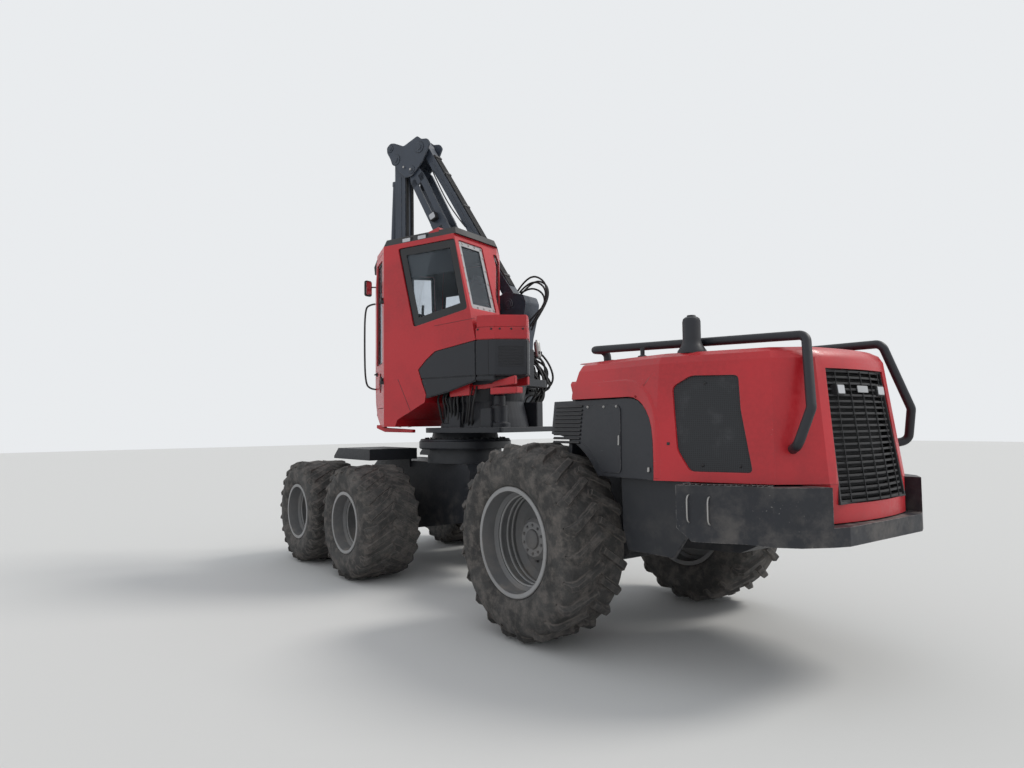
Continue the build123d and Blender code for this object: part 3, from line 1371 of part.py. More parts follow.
# Tilt bracket under the rotator, with the ears of the tilt pins
with BuildPart() as tilt_bracket:
    with BuildSketch(head_top(ROTATOR_TOP - ROTATOR_H - RING_GAP)):
        Circle(112)
        Circle(45 + SEAT_GAP, mode=Mode.SUBTRACT)
    extrude(amount=-60)
    with BuildSketch(head_top(ROTATOR_TOP - ROTATOR_H - RING_GAP - 60)):
        Rectangle(220, 2 * TILT_EAR_Y + 36)
    extrude(amount=-40)
    for hand in (1, -1):
        with BuildSketch(head_side(hand * TILT_EAR_Y)):
            with BuildLine():
                Polyline(
                    (-105, ROTATOR_TOP - ROTATOR_H - 70),
                    (-55, HEAD_TILT_Z - 30),
                    (55, HEAD_TILT_Z - 30),
                    (105, ROTATOR_TOP - ROTATOR_H - 70),
                    close=True,
                )
            make_face()
            with Locations((0, HEAD_TILT_Z)):
                Circle(60)
        extrude(amount=18, both=True)
        with BuildSketch(head_side(hand * (TILT_EAR_Y - 30))):
            with Locations((0, HEAD_TILT_Z)):
                Circle(PIN_R)
        extrude(amount=50, both=True)
write(tilt_bracket.part, "tilt_bracket")

# Head frame: top beam with the tilt lugs, saw box, fixed top knife, and plates with the hinge pins of the arms
with BuildPart() as head_frame:
    with BuildSketch(head_end(-HEAD_LENGTH / 2)):
        with BuildLine():
            Polyline(
                (-HEAD_HALF_W, HEAD_AXIS_Z + 205),
                (-HEAD_HALF_W, HEAD_AXIS_Z + 255),
                (-95, HEAD_AXIS_Z + 310),
                (95, HEAD_AXIS_Z + 310),
                (HEAD_HALF_W, HEAD_AXIS_Z + 255),
                (HEAD_HALF_W, HEAD_AXIS_Z + 205),
                close=True,
            )
        make_face()
    extrude(amount=HEAD_LENGTH)
    for hand in (1, -1):
        with BuildSketch(head_side(hand * (TILT_EAR_Y - 18 - PIN_GAP - 14))):
            with BuildLine():
                Polyline(
                    (-190, HEAD_AXIS_Z + 280),
                    (-55, HEAD_TILT_Z + 10),
                    (55, HEAD_TILT_Z + 10),
                    (190, HEAD_AXIS_Z + 280),
                    close=True,
                )
            make_face()
            with Locations((0, HEAD_TILT_Z)):
                Circle(60)
            with Locations((0, HEAD_TILT_Z)):
                Circle(PIN_R + SEAT_GAP, mode=Mode.SUBTRACT)
        extrude(amount=14, both=True)
    # Plates either side of the feed arms and of the knives, and the pins between them
    for low, high in ARM_BAYS:
        for at in (low - ARM_PLATE - MOVE_GAP, high + MOVE_GAP):
            with BuildSketch(head_end(at)):
                with BuildLine():
                    Polyline(
                        (-ARM_PIVOT_Y - 40, ARM_PIVOT_Z - 30),
                        (-ARM_PIVOT_Y - 40, ARM_PIVOT_Z + 30),
                        (-HEAD_HALF_W, ARM_PIVOT_Z + 60),
                        (HEAD_HALF_W, ARM_PIVOT_Z + 60),
                        (ARM_PIVOT_Y + 40, ARM_PIVOT_Z + 30),
                        (ARM_PIVOT_Y + 40, ARM_PIVOT_Z - 30),
                        (HEAD_HALF_W, ARM_PIVOT_Z - 60),
                        (-HEAD_HALF_W, ARM_PIVOT_Z - 60),
                        close=True,
                    )
                make_face()
            extrude(amount=ARM_PLATE)
        for hand in (1, -1):
            with BuildSketch(head_end(low - ARM_PLATE - MOVE_GAP - 12)):
                with Locations((hand * ARM_PIVOT_Y, ARM_PIVOT_Z)):
                    Circle(ARM_PIN_R)
            extrude(amount=high - low + 2 * ARM_PLATE + 2 * MOVE_GAP + 24)
    # Saw box at the butt end, and the fixed top knife at the other end
    with BuildSketch(head_end(-HEAD_LENGTH / 2 - SAW_BOX_L)):
        with BuildLine():
            Polyline(
                (-190, HEAD_AXIS_Z + 290),
                (190, HEAD_AXIS_Z + 290),
                (300, HEAD_AXIS_Z + 140),
                (300, HEAD_AXIS_Z - 240),
                (215, HEAD_AXIS_Z - 240),
                (190, HEAD_AXIS_Z + 60),
                (110, HEAD_AXIS_Z + 170),
                (-110, HEAD_AXIS_Z + 170),
                (-190, HEAD_AXIS_Z + 100),
                close=True,
            )
        make_face()
    extrude(amount=SAW_BOX_L)
    with BuildSketch(head_end(HEAD_LENGTH / 2 - 60)):
        with BuildLine():
            Polyline((-200, HEAD_AXIS_Z + 130), (-180, HEAD_AXIS_Z + 240), (180, HEAD_AXIS_Z + 240), (200, HEAD_AXIS_Z + 130))
            ThreePointArc((200, HEAD_AXIS_Z + 130), (0, HEAD_AXIS_Z + 195), (-200, HEAD_AXIS_Z + 130))
        make_face()
    extrude(amount=30)
write(head_frame.part, "head_frame")

# Feed arms with their drive rollers, one each side
for name, hand in (("left", 1), ("right", -1)):
    with BuildPart() as feed_arm:
        with BuildSketch(head_end(ARM_BAYS[0][0])):
            with Locations((hand * ARM_PIVOT_Y, ARM_PIVOT_Z)):
                Circle(ARM_TUBE_R)
            with BuildLine():
                Polyline(
                    (hand * ARM_PIVOT_Y, ARM_PIVOT_Z + 36),
                    (hand * (ROLLER_Y + 120), ARM_PIVOT_Z - 25),
                    (hand * (ROLLER_Y + 120), HEAD_AXIS_Z + ROLLER_H / 2 + 20),
                    (hand * (ARM_PIVOT_Y - 34), HEAD_AXIS_Z + ROLLER_H / 2 + 20),
                    (hand * (ARM_PIVOT_Y - 34), ARM_PIVOT_Z - 8),
                    close=True,
                )
            make_face()
            with Locations((hand * ARM_PIVOT_Y, ARM_PIVOT_Z)):
                Circle(ARM_PIN_R + SEAT_GAP, mode=Mode.SUBTRACT)
        extrude(amount=ARM_BAYS[0][1] - ARM_BAYS[0][0])
        with BuildSketch(head_top(HEAD_AXIS_Z - ROLLER_H / 2)):
            with Locations(((ARM_BAYS[0][0] + ARM_BAYS[0][1]) / 2, hand * ROLLER_Y)):
                Circle(ROLLER_R)
        extrude(amount=ROLLER_H)
        with BuildSketch(head_top(HEAD_AXIS_Z + ROLLER_H / 2)):
            with Locations(((ARM_BAYS[0][0] + ARM_BAYS[0][1]) / 2, hand * ROLLER_Y)):
                Circle(90)
        extrude(amount=22)
    write(feed_arm.part, f"feed_arm_{name}")

# Curved delimbing knives that close round the stem: node, hand, place along the stem
for name, hand, along in (("left", 1, ARM_BAYS[1][0]), ("right", -1, ARM_BAYS[1][1] - KNIFE_T)):
    with BuildPart() as knife:
        with BuildSketch(head_end(along)):
            with BuildLine():
                tip = (hand * 40, HEAD_AXIS_Z - KNIFE_REACH)
                ThreePointArc((hand * 190, ARM_PIVOT_Z + 35), (hand * 300, HEAD_AXIS_Z + 130), (hand * KNIFE_REACH, HEAD_AXIS_Z - 30))
                ThreePointArc((hand * KNIFE_REACH, HEAD_AXIS_Z - 30), (hand * 230, HEAD_AXIS_Z - 240), tip)
                ThreePointArc(tip, (hand * 190, HEAD_AXIS_Z - 190), (hand * 235, HEAD_AXIS_Z))
                Line((hand * 235, HEAD_AXIS_Z), (hand * 190, ARM_PIVOT_Z - 35))
                Line((hand * 190, ARM_PIVOT_Z - 35), (hand * 190, ARM_PIVOT_Z + 35))
            make_face()
            with Locations((hand * ARM_PIVOT_Y, ARM_PIVOT_Z)):
                Circle(ARM_TUBE_R)
            with Locations((hand * ARM_PIVOT_Y, ARM_PIVOT_Z)):
                Circle(ARM_PIN_R + SEAT_GAP, mode=Mode.SUBTRACT)
        extrude(amount=KNIFE_T)
    write(knife.part, f"knife_{name}")
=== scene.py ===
import json
import math

import bmesh
import bpy
from mathutils import Matrix, Vector


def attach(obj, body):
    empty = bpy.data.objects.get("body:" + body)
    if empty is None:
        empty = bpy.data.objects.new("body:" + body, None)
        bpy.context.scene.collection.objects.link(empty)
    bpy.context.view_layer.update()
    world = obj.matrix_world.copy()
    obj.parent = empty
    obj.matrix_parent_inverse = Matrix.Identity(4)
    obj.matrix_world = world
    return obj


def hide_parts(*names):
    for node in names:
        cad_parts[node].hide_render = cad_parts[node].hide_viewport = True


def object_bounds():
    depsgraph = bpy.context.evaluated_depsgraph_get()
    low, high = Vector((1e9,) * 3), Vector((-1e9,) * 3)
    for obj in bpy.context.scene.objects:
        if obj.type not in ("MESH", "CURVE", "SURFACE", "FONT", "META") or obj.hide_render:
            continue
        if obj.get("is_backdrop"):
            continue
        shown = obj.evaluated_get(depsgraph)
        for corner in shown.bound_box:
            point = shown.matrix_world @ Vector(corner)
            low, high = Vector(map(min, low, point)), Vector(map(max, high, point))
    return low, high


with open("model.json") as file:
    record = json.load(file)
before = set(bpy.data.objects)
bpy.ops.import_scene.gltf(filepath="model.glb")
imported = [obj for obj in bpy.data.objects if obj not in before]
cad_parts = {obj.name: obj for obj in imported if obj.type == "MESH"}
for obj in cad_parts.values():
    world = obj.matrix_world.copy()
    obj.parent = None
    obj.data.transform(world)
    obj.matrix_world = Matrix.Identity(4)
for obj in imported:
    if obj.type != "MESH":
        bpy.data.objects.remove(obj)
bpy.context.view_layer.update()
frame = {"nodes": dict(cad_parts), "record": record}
nodes = frame["nodes"]

# All places are in metres in the CAD frame: +X forward, +Y left, +Z up
REAR_X = -1.452
SLEW_X = REAR_X + 2.750
SLEW_HEADING = math.radians(19.3)
CRANE_V = -800  # the crane's middle plane, in millimetres left of the slew's centre


# Materials


class Graph:
    """Small helper that builds a node tree for a principled material."""

    def __init__(self, name):
        self.mat = bpy.data.materials.new(name)
        self.mat.use_nodes = True
        self.tree = self.mat.node_tree
        self.tree.nodes.clear()
        self.out = self.add("ShaderNodeOutputMaterial")
        self.shader = self.add("ShaderNodeBsdfPrincipled")
        self.link(self.shader.outputs["BSDF"], self.out.inputs["Surface"])
        self.coords = self.add("ShaderNodeTexCoord").outputs["Object"]

    def add(self, kind, **values):
        node = self.tree.nodes.new(kind)
        for key, value in values.items():
            setattr(node, key, value)
        return node

    def link(self, a, b):
        self.tree.links.new(a, b)

    def feed(self, socket, value):
        if isinstance(value, bpy.types.NodeSocket):
            self.link(value, socket)
        elif isinstance(value, tuple):
            socket.default_value = (*value[:3], 1.0)
        else:
            socket.default_value = value

    def noise(self, scale, detail=4.0, rough=0.55, stretch=(1, 1, 1), offset=(0, 0, 0)):
        mapping = self.add("ShaderNodeMapping")
        self.link(self.coords, mapping.inputs["Vector"])
        mapping.inputs["Scale"].default_value = stretch
        mapping.inputs["Location"].default_value = offset
        node = self.add("ShaderNodeTexNoise")
        self.link(mapping.outputs["Vector"], node.inputs["Vector"])
        node.inputs["Scale"].default_value = scale
        node.inputs["Detail"].default_value = detail
        node.inputs["Roughness"].default_value = rough
        return node.outputs["Fac"]

    def ramp(self, value, low, high, out_low=0.0, out_high=1.0):
        node = self.add("ShaderNodeMapRange")
        node.clamp = True
        node.interpolation_type = "SMOOTHSTEP"
        self.feed(node.inputs["Value"], value)
        node.inputs["From Min"].default_value = low
        node.inputs["From Max"].default_value = high
        node.inputs["To Min"].default_value = out_low
        node.inputs["To Max"].default_value = out_high
        return node.outputs["Result"]

    def math(self, op, a, b=0.0):
        node = self.add("ShaderNodeMath", operation=op)
        self.feed(node.inputs[0], a)
        self.feed(node.inputs[1], b)
        return node.outputs[0]

    def times(self, a, b):
        return self.math("MULTIPLY", a, b)

    def plus(self, a, b):
        return self.math("ADD", a, b)

    def mix(self, fac, a, b):
        node = self.add("ShaderNodeMix", data_type="RGBA")
        self.feed(node.inputs["Factor"], fac)
        self.feed(node.inputs[6], a)
        self.feed(node.inputs[7], b)
        return node.outputs[2]

    def axis(self, index):
        node = self.add("ShaderNodeSeparateXYZ")
        self.link(self.coords, node.inputs[0])
        return node.outputs[index]

    def facing_up(self):
        geometry = self.add("ShaderNodeNewGeometry")
        node = self.add("ShaderNodeSeparateXYZ")
        self.link(geometry.outputs["Normal"], node.inputs[0])
        return node.outputs[2]

    def edges(self, radius, low=0.02, high=0.16):
        """1 along sharp edges, 0 on flat parts."""
        bevel = self.add("ShaderNodeBevel", samples=6)
        bevel.inputs["Radius"].default_value = radius
        geometry = self.add("ShaderNodeNewGeometry")
        node = self.add("ShaderNodeVectorMath", operation="DOT_PRODUCT")
        self.link(bevel.outputs[0], node.inputs[0])
        self.link(geometry.outputs["True Normal"], node.inputs[1])
        return self.ramp(self.math("SUBTRACT", 1.0, node.outputs["Value"]), low, high)

    def surface(self, colour, rough, bump=None, strength=0.2, distance=0.002, radius=0.004, metallic=0.0):
        self.feed(self.shader.inputs["Base Color"], colour)
        self.feed(self.shader.inputs["Roughness"], rough)
        self.feed(self.shader.inputs["Metallic"], metallic)
        bevel = self.add("ShaderNodeBevel", samples=6)
        bevel.inputs["Radius"].default_value = radius
        if bump is None:
            self.link(bevel.outputs[0], self.shader.inputs["Normal"])
            return self.mat
        node = self.add("ShaderNodeBump")
        node.inputs["Strength"].default_value = strength
        node.inputs["Distance"].default_value = distance
        self.feed(node.inputs["Height"], bump)
        self.link(bevel.outputs[0], node.inputs["Normal"])
        self.link(node.outputs["Normal"], self.shader.inputs["Normal"])
        return self.mat


def painted(name, base, rough, wear=0.5, dusty=0.3, worn=(0.32, 0.31, 0.30), coat=0.0, low_dust=1.4):
    """Sprayed paint with faded patches, fine scratches, chipped edges and road dust low down."""
    g = Graph(name)
    patch = g.ramp(g.noise(1.7, 3), 0.35, 0.7)
    darker = tuple(c * 0.78 for c in base)
    colour = g.mix(patch, base, darker)
    fine = g.ramp(g.noise(34, 5), 0.3, 0.75)
    lighter = tuple(min(1.0, c * 1.1 + 0.012) for c in base)
    colour = g.mix(g.times(fine, 0.35), colour, lighter)
    # Dust settles on upward faces and low down
    spread = g.ramp(g.noise(5, 6, 0.65), 0.42, 0.72)
    low = g.ramp(g.axis(2), low_dust, 0.2)
    up = g.ramp(g.facing_up(), 0.55, 1.0)
    mask = g.times(spread, g.plus(g.times(low, 0.75), g.times(up, 0.55)))
    mask = g.times(mask, dusty)
    colour = g.mix(mask, colour, (0.30, 0.27, 0.24))
    # Scratches and chipped edges
    scratch = g.ramp(g.noise(60, 2, 0.5, (0.25, 3.0, 1.3), (3, 1, 2)), 0.70, 0.78)
    where = g.ramp(g.noise(2.3, 3, 0.5, (1, 1, 1), (7, 2, 5)), 0.50, 0.66)
    scratch = g.times(g.times(scratch, where), wear)
    edge = g.times(g.edges(0.006), g.ramp(g.noise(20, 5, 0.7), 0.40, 0.62))
    chipped = g.math("MAXIMUM", scratch, g.times(edge, wear))
    colour = g.mix(chipped, colour, worn)
    roughness = g.plus(g.times(fine, 0.16), g.times(mask, 0.4))
    roughness = g.plus(roughness, rough - 0.06)
    bump = g.plus(g.times(fine, 0.3), g.times(spread, 0.6))
    mat = g.surface(colour, roughness, bump, 0.10, 0.0015)
    g.shader.inputs["Coat Weight"].default_value = coat
    g.shader.inputs["Coat Roughness"].default_value = 0.12
    return mat


def rubber(name):
    """Old tyre rubber, chalky on the sides and polished to a dusty grey on the lugs' tops."""
    base, dust = (0.028, 0.027, 0.026), (0.17, 0.15, 0.135)
    g = Graph(name)
    big = g.ramp(g.noise(3.2, 5, 0.6), 0.35, 0.68)
    fine = g.ramp(g.noise(48, 6, 0.7), 0.35, 0.7)
    colour = g.mix(big, base, tuple(c * 1.9 + 0.008 for c in base))
    mask = g.times(g.ramp(g.noise(8, 7, 0.7), 0.42, 0.64), g.plus(0.35, g.times(fine, 0.5)))
    edge = g.times(g.edges(0.02, 0.01, 0.12), 0.75)
    mask = g.math("MAXIMUM", mask, g.times(edge, g.ramp(g.noise(12, 5), 0.3, 0.6)))
    colour = g.mix(mask, colour, dust)
    bump = g.plus(fine, g.times(g.noise(9, 6, 0.6), 1.6))
    return g.surface(colour, g.plus(0.72, g.times(fine, 0.2)), bump, 0.35, 0.004, 0.006)


def metal(name, base, rough):
    """Bare metal with fine turning marks."""
    g = Graph(name)
    fine = g.noise(90, 3, 0.5, (1, 1, 6))
    colour = g.mix(g.ramp(g.noise(6, 4), 0.4, 0.7), base, tuple(c * 0.8 for c in base))
    return g.surface(colour, g.plus(rough, g.times(fine, 0.12)), fine, 0.05, 0.001, 0.002, 1.0)


def plastic(name, base, rough=0.55, grain=220, dusty=0.25):
    """Moulded plastic with a fine pebble grain and a little dust."""
    g = Graph(name)
    pebble = g.noise(grain, 2, 0.5)
    patch = g.ramp(g.noise(2.5, 5, 0.6), 0.4, 0.72)
    colour = g.mix(g.times(patch, dusty), base, tuple(c * 0.7 + 0.09 for c in base))
    return g.surface(colour, g.plus(rough, g.times(patch, 0.15)), pebble, 0.25, 0.0006, 0.004)


def cloth(name, base):
    """Woven seat cloth: two crossed sets of threads."""
    g = Graph(name)
    warp = g.add("ShaderNodeTexWave", wave_type="BANDS", bands_direction="X")
    weft = g.add("ShaderNodeTexWave", wave_type="BANDS", bands_direction="Z")
    for wave in (warp, weft):
        g.link(g.coords, wave.inputs["Vector"])
        wave.inputs["Scale"].default_value = 110
        wave.inputs["Distortion"].default_value = 0.6
    weave = g.times(warp.outputs["Fac"], weft.outputs["Fac"])
    colour = g.mix(weave, base, tuple(c * 1.9 + 0.01 for c in base))
    mat = g.surface(colour, 0.9, weave, 0.4, 0.001, 0.006)
    g.shader.inputs["Sheen Weight"].default_value = 0.3
    return mat


def screen(name, base):
    """Black perforated sheet: a fine square grid of holes, drawn darker as painted shade in them."""
    g = Graph(name)
    rows = g.add("ShaderNodeTexWave", wave_type="BANDS", bands_direction="X")
    columns = g.add("ShaderNodeTexWave", wave_type="BANDS", bands_direction="Z")
    for wave in (rows, columns):
        g.link(g.coords, wave.inputs["Vector"])
        wave.inputs["Scale"].default_value = 24
    holes = g.times(rows.outputs["Fac"], columns.outputs["Fac"])
    dust = g.ramp(g.noise(5, 6, 0.65), 0.5, 0.75)
    # Painted shade: the holes are drawn darker than the sheet, as the shade seen in them
    colour = g.mix(g.ramp(holes, 0.2, 0.5), base, tuple(c * 0.3 for c in base))
    colour = g.mix(g.times(dust, 0.18), colour, (0.16, 0.16, 0.17))
    return g.surface(colour, 0.6, holes, 0.4, 0.002, 0.003)


def glazing(name, tint):
    """Clear, slightly dusty safety glass."""
    g = Graph(name)
    g.tree.nodes.remove(g.shader)
    clear = g.add("ShaderNodeBsdfTransparent")
    clear.inputs["Color"].default_value = (*tint, 1.0)
    gloss = g.add("ShaderNodeBsdfPrincipled")
    film = g.ramp(g.noise(4, 6, 0.6), 0.4, 0.8, 0.0, 0.05)
    gloss.inputs["Base Color"].default_value = (0.25, 0.28, 0.30, 1.0)
    gloss.inputs["Roughness"].default_value = 0.06
    mix = g.add("ShaderNodeMixShader")
    fresnel = g.add("ShaderNodeFresnel")
    fresnel.inputs["IOR"].default_value = 1.5
    g.feed(mix.inputs[0], g.plus(g.times(fresnel.outputs[0], 0.35), film))
    g.link(clear.outputs[0], mix.inputs[1])
    g.link(gloss.outputs[0], mix.inputs[2])
    g.link(mix.outputs[0], g.out.inputs["Surface"])
    return g.mat


RED = painted("red paint", (0.52, 0.012, 0.020), 0.38, wear=0.28, dusty=0.22, coat=0.12)
FRAME = painted(
    "dark frame paint", (0.014, 0.016, 0.021), 0.5, wear=0.6, dusty=0.5, worn=(0.16, 0.15, 0.14),
)
BLACK = painted("black panel paint", (0.012, 0.014, 0.020), 0.45, wear=0.3, dusty=0.2)
CRANE = painted("crane paint", (0.042, 0.054, 0.076), 0.45, wear=0.5, dusty=0.25, low_dust=2.0)
BUMPER = painted(
    "bumper paint", (0.013, 0.015, 0.021), 0.48, wear=1.0, dusty=0.7, worn=(0.30, 0.29, 0.28), low_dust=1.9,
)
RIM = painted("rim paint", (0.17, 0.17, 0.172), 0.5, wear=0.5, dusty=0.7, worn=(0.30, 0.26, 0.22))
RIM_DARK = painted("hub paint", (0.10, 0.10, 0.102), 0.55, wear=0.5, dusty=0.7)
RIM_EDGE = painted("rim edge paint", (0.30, 0.30, 0.30), 0.45, wear=0.7, dusty=0.4, worn=(0.42, 0.40, 0.37))
HEAD = painted("head paint", (0.045, 0.046, 0.050), 0.5, wear=0.8, dusty=0.5)
TYRE = rubber("tyre rubber")
HOSE = plastic("hose rubber", (0.014, 0.014, 0.015), 0.6, 160, 0.35)
LINER = plastic("cab lining", (0.035, 0.036, 0.040), 0.7)
WORN = metal("worn tread", (0.20, 0.20, 0.20), 0.5)
PALE = painted("pale frame", (0.42, 0.43, 0.44), 0.5, wear=0.4, dusty=0.3)
GLAZE_BLACK = plastic("glass border", (0.008, 0.009, 0.011), 0.18, 30, 0.1)
# Very dark sheet for the upper part of the side windows
DARK_SHEET = plastic("dark window sheet", (0.006, 0.009, 0.015), 0.5, 40, 0.2)
LENS = plastic("lamp lens", (0.55, 0.56, 0.58), 0.15, 400, 0.1)
STEEL = metal("worn steel", (0.42, 0.41, 0.40), 0.38)
CHROME = metal("chromed rod", (0.78, 0.79, 0.80), 0.10)
TRIM = plastic("black trim", (0.020, 0.020, 0.022))
SEAT = cloth("seat cloth", (0.030, 0.030, 0.034))
SCREEN = screen("vent screen", (0.020, 0.022, 0.026))
GLASS = glazing("cab glass", (0.90, 0.92, 0.94))

BY_SLOT = {
    "tyre_rubber": TYRE,
    "rim_grey": RIM,
    "frame_dark": FRAME,
    "body_red": RED,
    "panel_black": BLACK,
    "trim_black": TRIM,
    "glass": GLASS,
    "seat_fabric": SEAT,
    "crane_grey": CRANE,
    "rod_chrome": CHROME,
    "head_dark": HEAD,
    "worn_steel": STEEL,
}
BY_NODE = {"rear_bumper": BUMPER, "cab_shell": RED, "cab_door": RED}

for part in frame["record"]["subparts"]:
    node = nodes[part["node"]]
    material = BY_NODE.get(part["node"], BY_SLOT[part["material_slot"]])
    node.data.materials.clear()
    node.data.materials.append(material)


# Places and forms. Outlines are in millimetres, pieces in metres in the CAD frame.


def at_rear(x, y, z):
    """Point from the rear axle's directions: x forward, y left, z up."""
    return Vector((REAR_X + x / 1000, y / 1000, z / 1000))


def at_slew(u, v, z):
    """Point from the superstructure's directions: u forward, v left, z up."""
    c, s = math.cos(SLEW_HEADING), math.sin(SLEW_HEADING)
    return Vector((SLEW_X + (u * c - v * s) / 1000, (u * s + v * c) / 1000, z / 1000))


def slew_way(u, v):
    """Level direction from the superstructure's directions."""
    return (at_slew(u, v, 0) - at_slew(0, 0, 0)).normalized()


def slew_line(*points):
    """Line through points (u, v, z)."""
    return [at_slew(*p) for p in points]


UP = Vector((0, 0, 1))


class Wall:
    """Plane with an origin, a direction along it, one up it and its outward normal."""

    def __init__(self, origin, along, up, out):
        self.origin, self.along, self.up, self.out = origin, along, up, out

    def __call__(self, a, b, out=0.0):
        return self.origin + (self.along * a + self.up * b + self.out * out) / 1000


def slew_wall(p, q):
    """Upright wall between two plan points (u, v), its height in millimetres above ground."""
    a, b = at_slew(*p, 0), at_slew(*q, 0)
    along = (b - a).normalized()
    return Wall(a, along, UP, along.cross(UP))


def grown(outline, by):
    """Outline with every side moved outwards by a distance, for a closed 2D outline."""
    area = sum(p[0] * q[1] - q[0] * p[1] for p, q in zip(outline, outline[1:] + outline[:1]))
    turn = 1 if area > 0 else -1
    result = []
    for i, point in enumerate(outline):
        before = Vector(point) - Vector(outline[i - 1])
        after = Vector(outline[(i + 1) % len(outline)]) - Vector(point)
        n1 = Vector((before.y, -before.x)).normalized() * turn
        n2 = Vector((after.y, -after.x)).normalized() * turn
        middle = (n1 + n2) / max(0.3, 1 + n1.dot(n2))
        result.append((point[0] + middle.x * by, point[1] + middle.y * by))
    return result


def rounded(outline, radius, steps=3):
    """Outline with its corners cut to short arcs."""
    result = []
    for i, point in enumerate(outline):
        here = Vector(point)
        back = Vector(outline[i - 1]) - here
        ahead = Vector(outline[(i + 1) % len(outline)]) - here
        reach = min(radius, back.length * 0.45, ahead.length * 0.45)
        a, b = here + back.normalized() * reach, here + ahead.normalized() * reach
        for k in range(steps + 1):
            t = k / steps
            spot = a * (1 - t) ** 2 + here * 2 * t * (1 - t) + b * t * t
            result.append((spot.x, spot.y))
    return result


def box_outline(a, b, width, height, radius=0):
    """Upright rectangle about a middle, its corners rounded if a radius is given."""
    w, h = width / 2, height / 2
    corners = [(a - w, b - h), (a + w, b - h), (a + w, b + h), (a - w, b + h)]
    return rounded(corners, radius) if radius else corners


# Angles from which an edge is bevelled or shaded sharp
BEVELLED, SHADED_SHARP = 0.5, math.radians(35)


class Form:
    """A mesh being made from closed shapes."""

    def __init__(self):
        self.bm = bmesh.new()

    def prism(self, outline, depth):
        """Closed prism of points in metres along a depth vector."""
        low = [self.bm.verts.new(p) for p in outline]
        high = [self.bm.verts.new(Vector(p) + depth) for p in outline]
        self.bm.faces.new(low[::-1])
        self.bm.faces.new(high)
        for i in range(len(low)):
            j = (i + 1) % len(low)
            self.bm.faces.new((low[i], low[j], high[j], high[i]))
        return self

    def slab(self, outline, z, height):
        """Plate of a plan outline (u, v) from z upwards."""
        return self.prism([at_slew(u, v, z) for u, v in outline], Vector((0, 0, height / 1000)))

    def side(self, outline, start, end):
        """Prism of a side outline (u, z) between two distances left of the slew's centre."""
        depth = at_slew(0, end, 0) - at_slew(0, start, 0)
        return self.prism([at_slew(u, start, z) for u, z in outline], depth)

    def loft(self, rings):
        """Closed shape through rings of points, all of one count."""
        rows = [[self.bm.verts.new(p) for p in ring] for ring in rings]
        count = len(rows[0])
        for below, above in zip(rows, rows[1:]):
            for i in range(count):
                j = (i + 1) % count
                self.bm.faces.new((below[i], below[j], above[j], above[i]))
        self.bm.faces.new(rows[0][::-1])
        self.bm.faces.new(rows[-1])
        return self

    def on(self, wall, outline, inner, outer):
        """Prism of an outline on a wall, between two depths in millimetres."""
        return self.prism([wall(a, b, inner) for a, b in outline], wall.out * (outer - inner) / 1000)

    def border(self, wall, outline, width, inner, outer):
        """Flat ring inside an outline on a wall."""
        inside = grown(outline, -width)
        corners = list(zip(outline, inside))
        for (a, b), (c, d) in zip(corners, corners[1:] + corners[:1]):
            self.on(wall, [a, c, d, b], inner, outer)
        return self

    def crane(self, outline, low, high):
        """Prism of a side outline (u, z) between two distances from the crane's middle plane."""
        return self.side(outline, CRANE_V + low, CRANE_V + high)

    def disc(self, centre, radius, low, high, sides=28):
        """Round pin or boss across the crane's middle plane."""
        turn = [2 * math.pi * k / sides for k in range(sides)]
        return self.crane(
            [(centre[0] + radius * math.cos(t), centre[1] + radius * math.sin(t)) for t in turn], low, high,
        )

    def spin(self, origin, axis, profile, sides=64):
        """Closed ring or solid of (along, radius) points in metres about an axis."""
        axis = axis.normalized()
        side = axis.orthogonal().normalized()
        rows = []
        for k in range(sides):
            out = Matrix.Rotation(2 * math.pi * k / sides, 3, axis) @ side
            rows.append([self.bm.verts.new(origin + axis * a + out * max(r, 0.0005)) for a, r in profile])
        count = len(profile)
        for k in range(sides):
            here, there = rows[k], rows[(k + 1) % sides]
            for i in range(count):
                j = (i + 1) % count
                self.bm.faces.new((here[i], here[j], there[j], there[i]))
        return self

    def rod(self, a, b, radius, sides=16):
        """Round rod between two points."""
        axis = (b - a).normalized()
        side = axis.orthogonal().normalized()
        ring = [Matrix.Rotation(2 * math.pi * k / sides, 3, axis) @ side * radius for k in range(sides)]
        return self.prism([a + r for r in ring], b - a)

    def nut(self, at, axis, radius=0.016, height=0.014):
        """Hexagonal nut on a washer, its axis outwards."""
        axis = axis.normalized()
        self.rod(at, at + axis * 0.004, radius * 1.35, 16)
        return self.rod(at + axis * 0.003, at + axis * (0.004 + height), radius, 6)

    def solid(self):
        """Loose object of the mesh made so far."""
        bmesh.ops.recalc_face_normals(self.bm, faces=self.bm.faces)
        mesh = bpy.data.meshes.new("form")
        self.bm.to_mesh(mesh)
        self.bm.free()
        shape = bpy.data.objects.new("form", mesh)
        bpy.context.scene.collection.objects.link(shape)
        return shape

    def piece(self, name, material, body, bevel=0.0, smooth=False, replaces=()):
        """Finished piece with small rounded edges, riding on a body."""
        if bevel:
            bmesh.ops.recalc_face_normals(self.bm, faces=self.bm.faces)
            sharp = [e for e in self.bm.edges if len(e.link_faces) == 2 and e.calc_face_angle(0) > BEVELLED]
            bmesh.ops.bevel(
                self.bm, geom=sharp, offset=bevel, segments=2, affect="EDGES", clamp_overlap=True,
            )
        return finish(self.solid(), name, material, body, smooth, replaces)


def finish(shape, name, material, body, smooth=False, replaces=()):
    """Loose shape named, given its material and put on its body."""
    shape.name = name
    shape.data.name = name
    if material:
        shape.data.materials.clear()
        shape.data.materials.append(material)
    if smooth:
        for face in shape.data.polygons:
            face.use_smooth = True
        shape.data.set_sharp_from_angle(angle=SHADED_SHARP)
    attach(shape, body)
    if replaces:
        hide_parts(*replaces)
    return shape


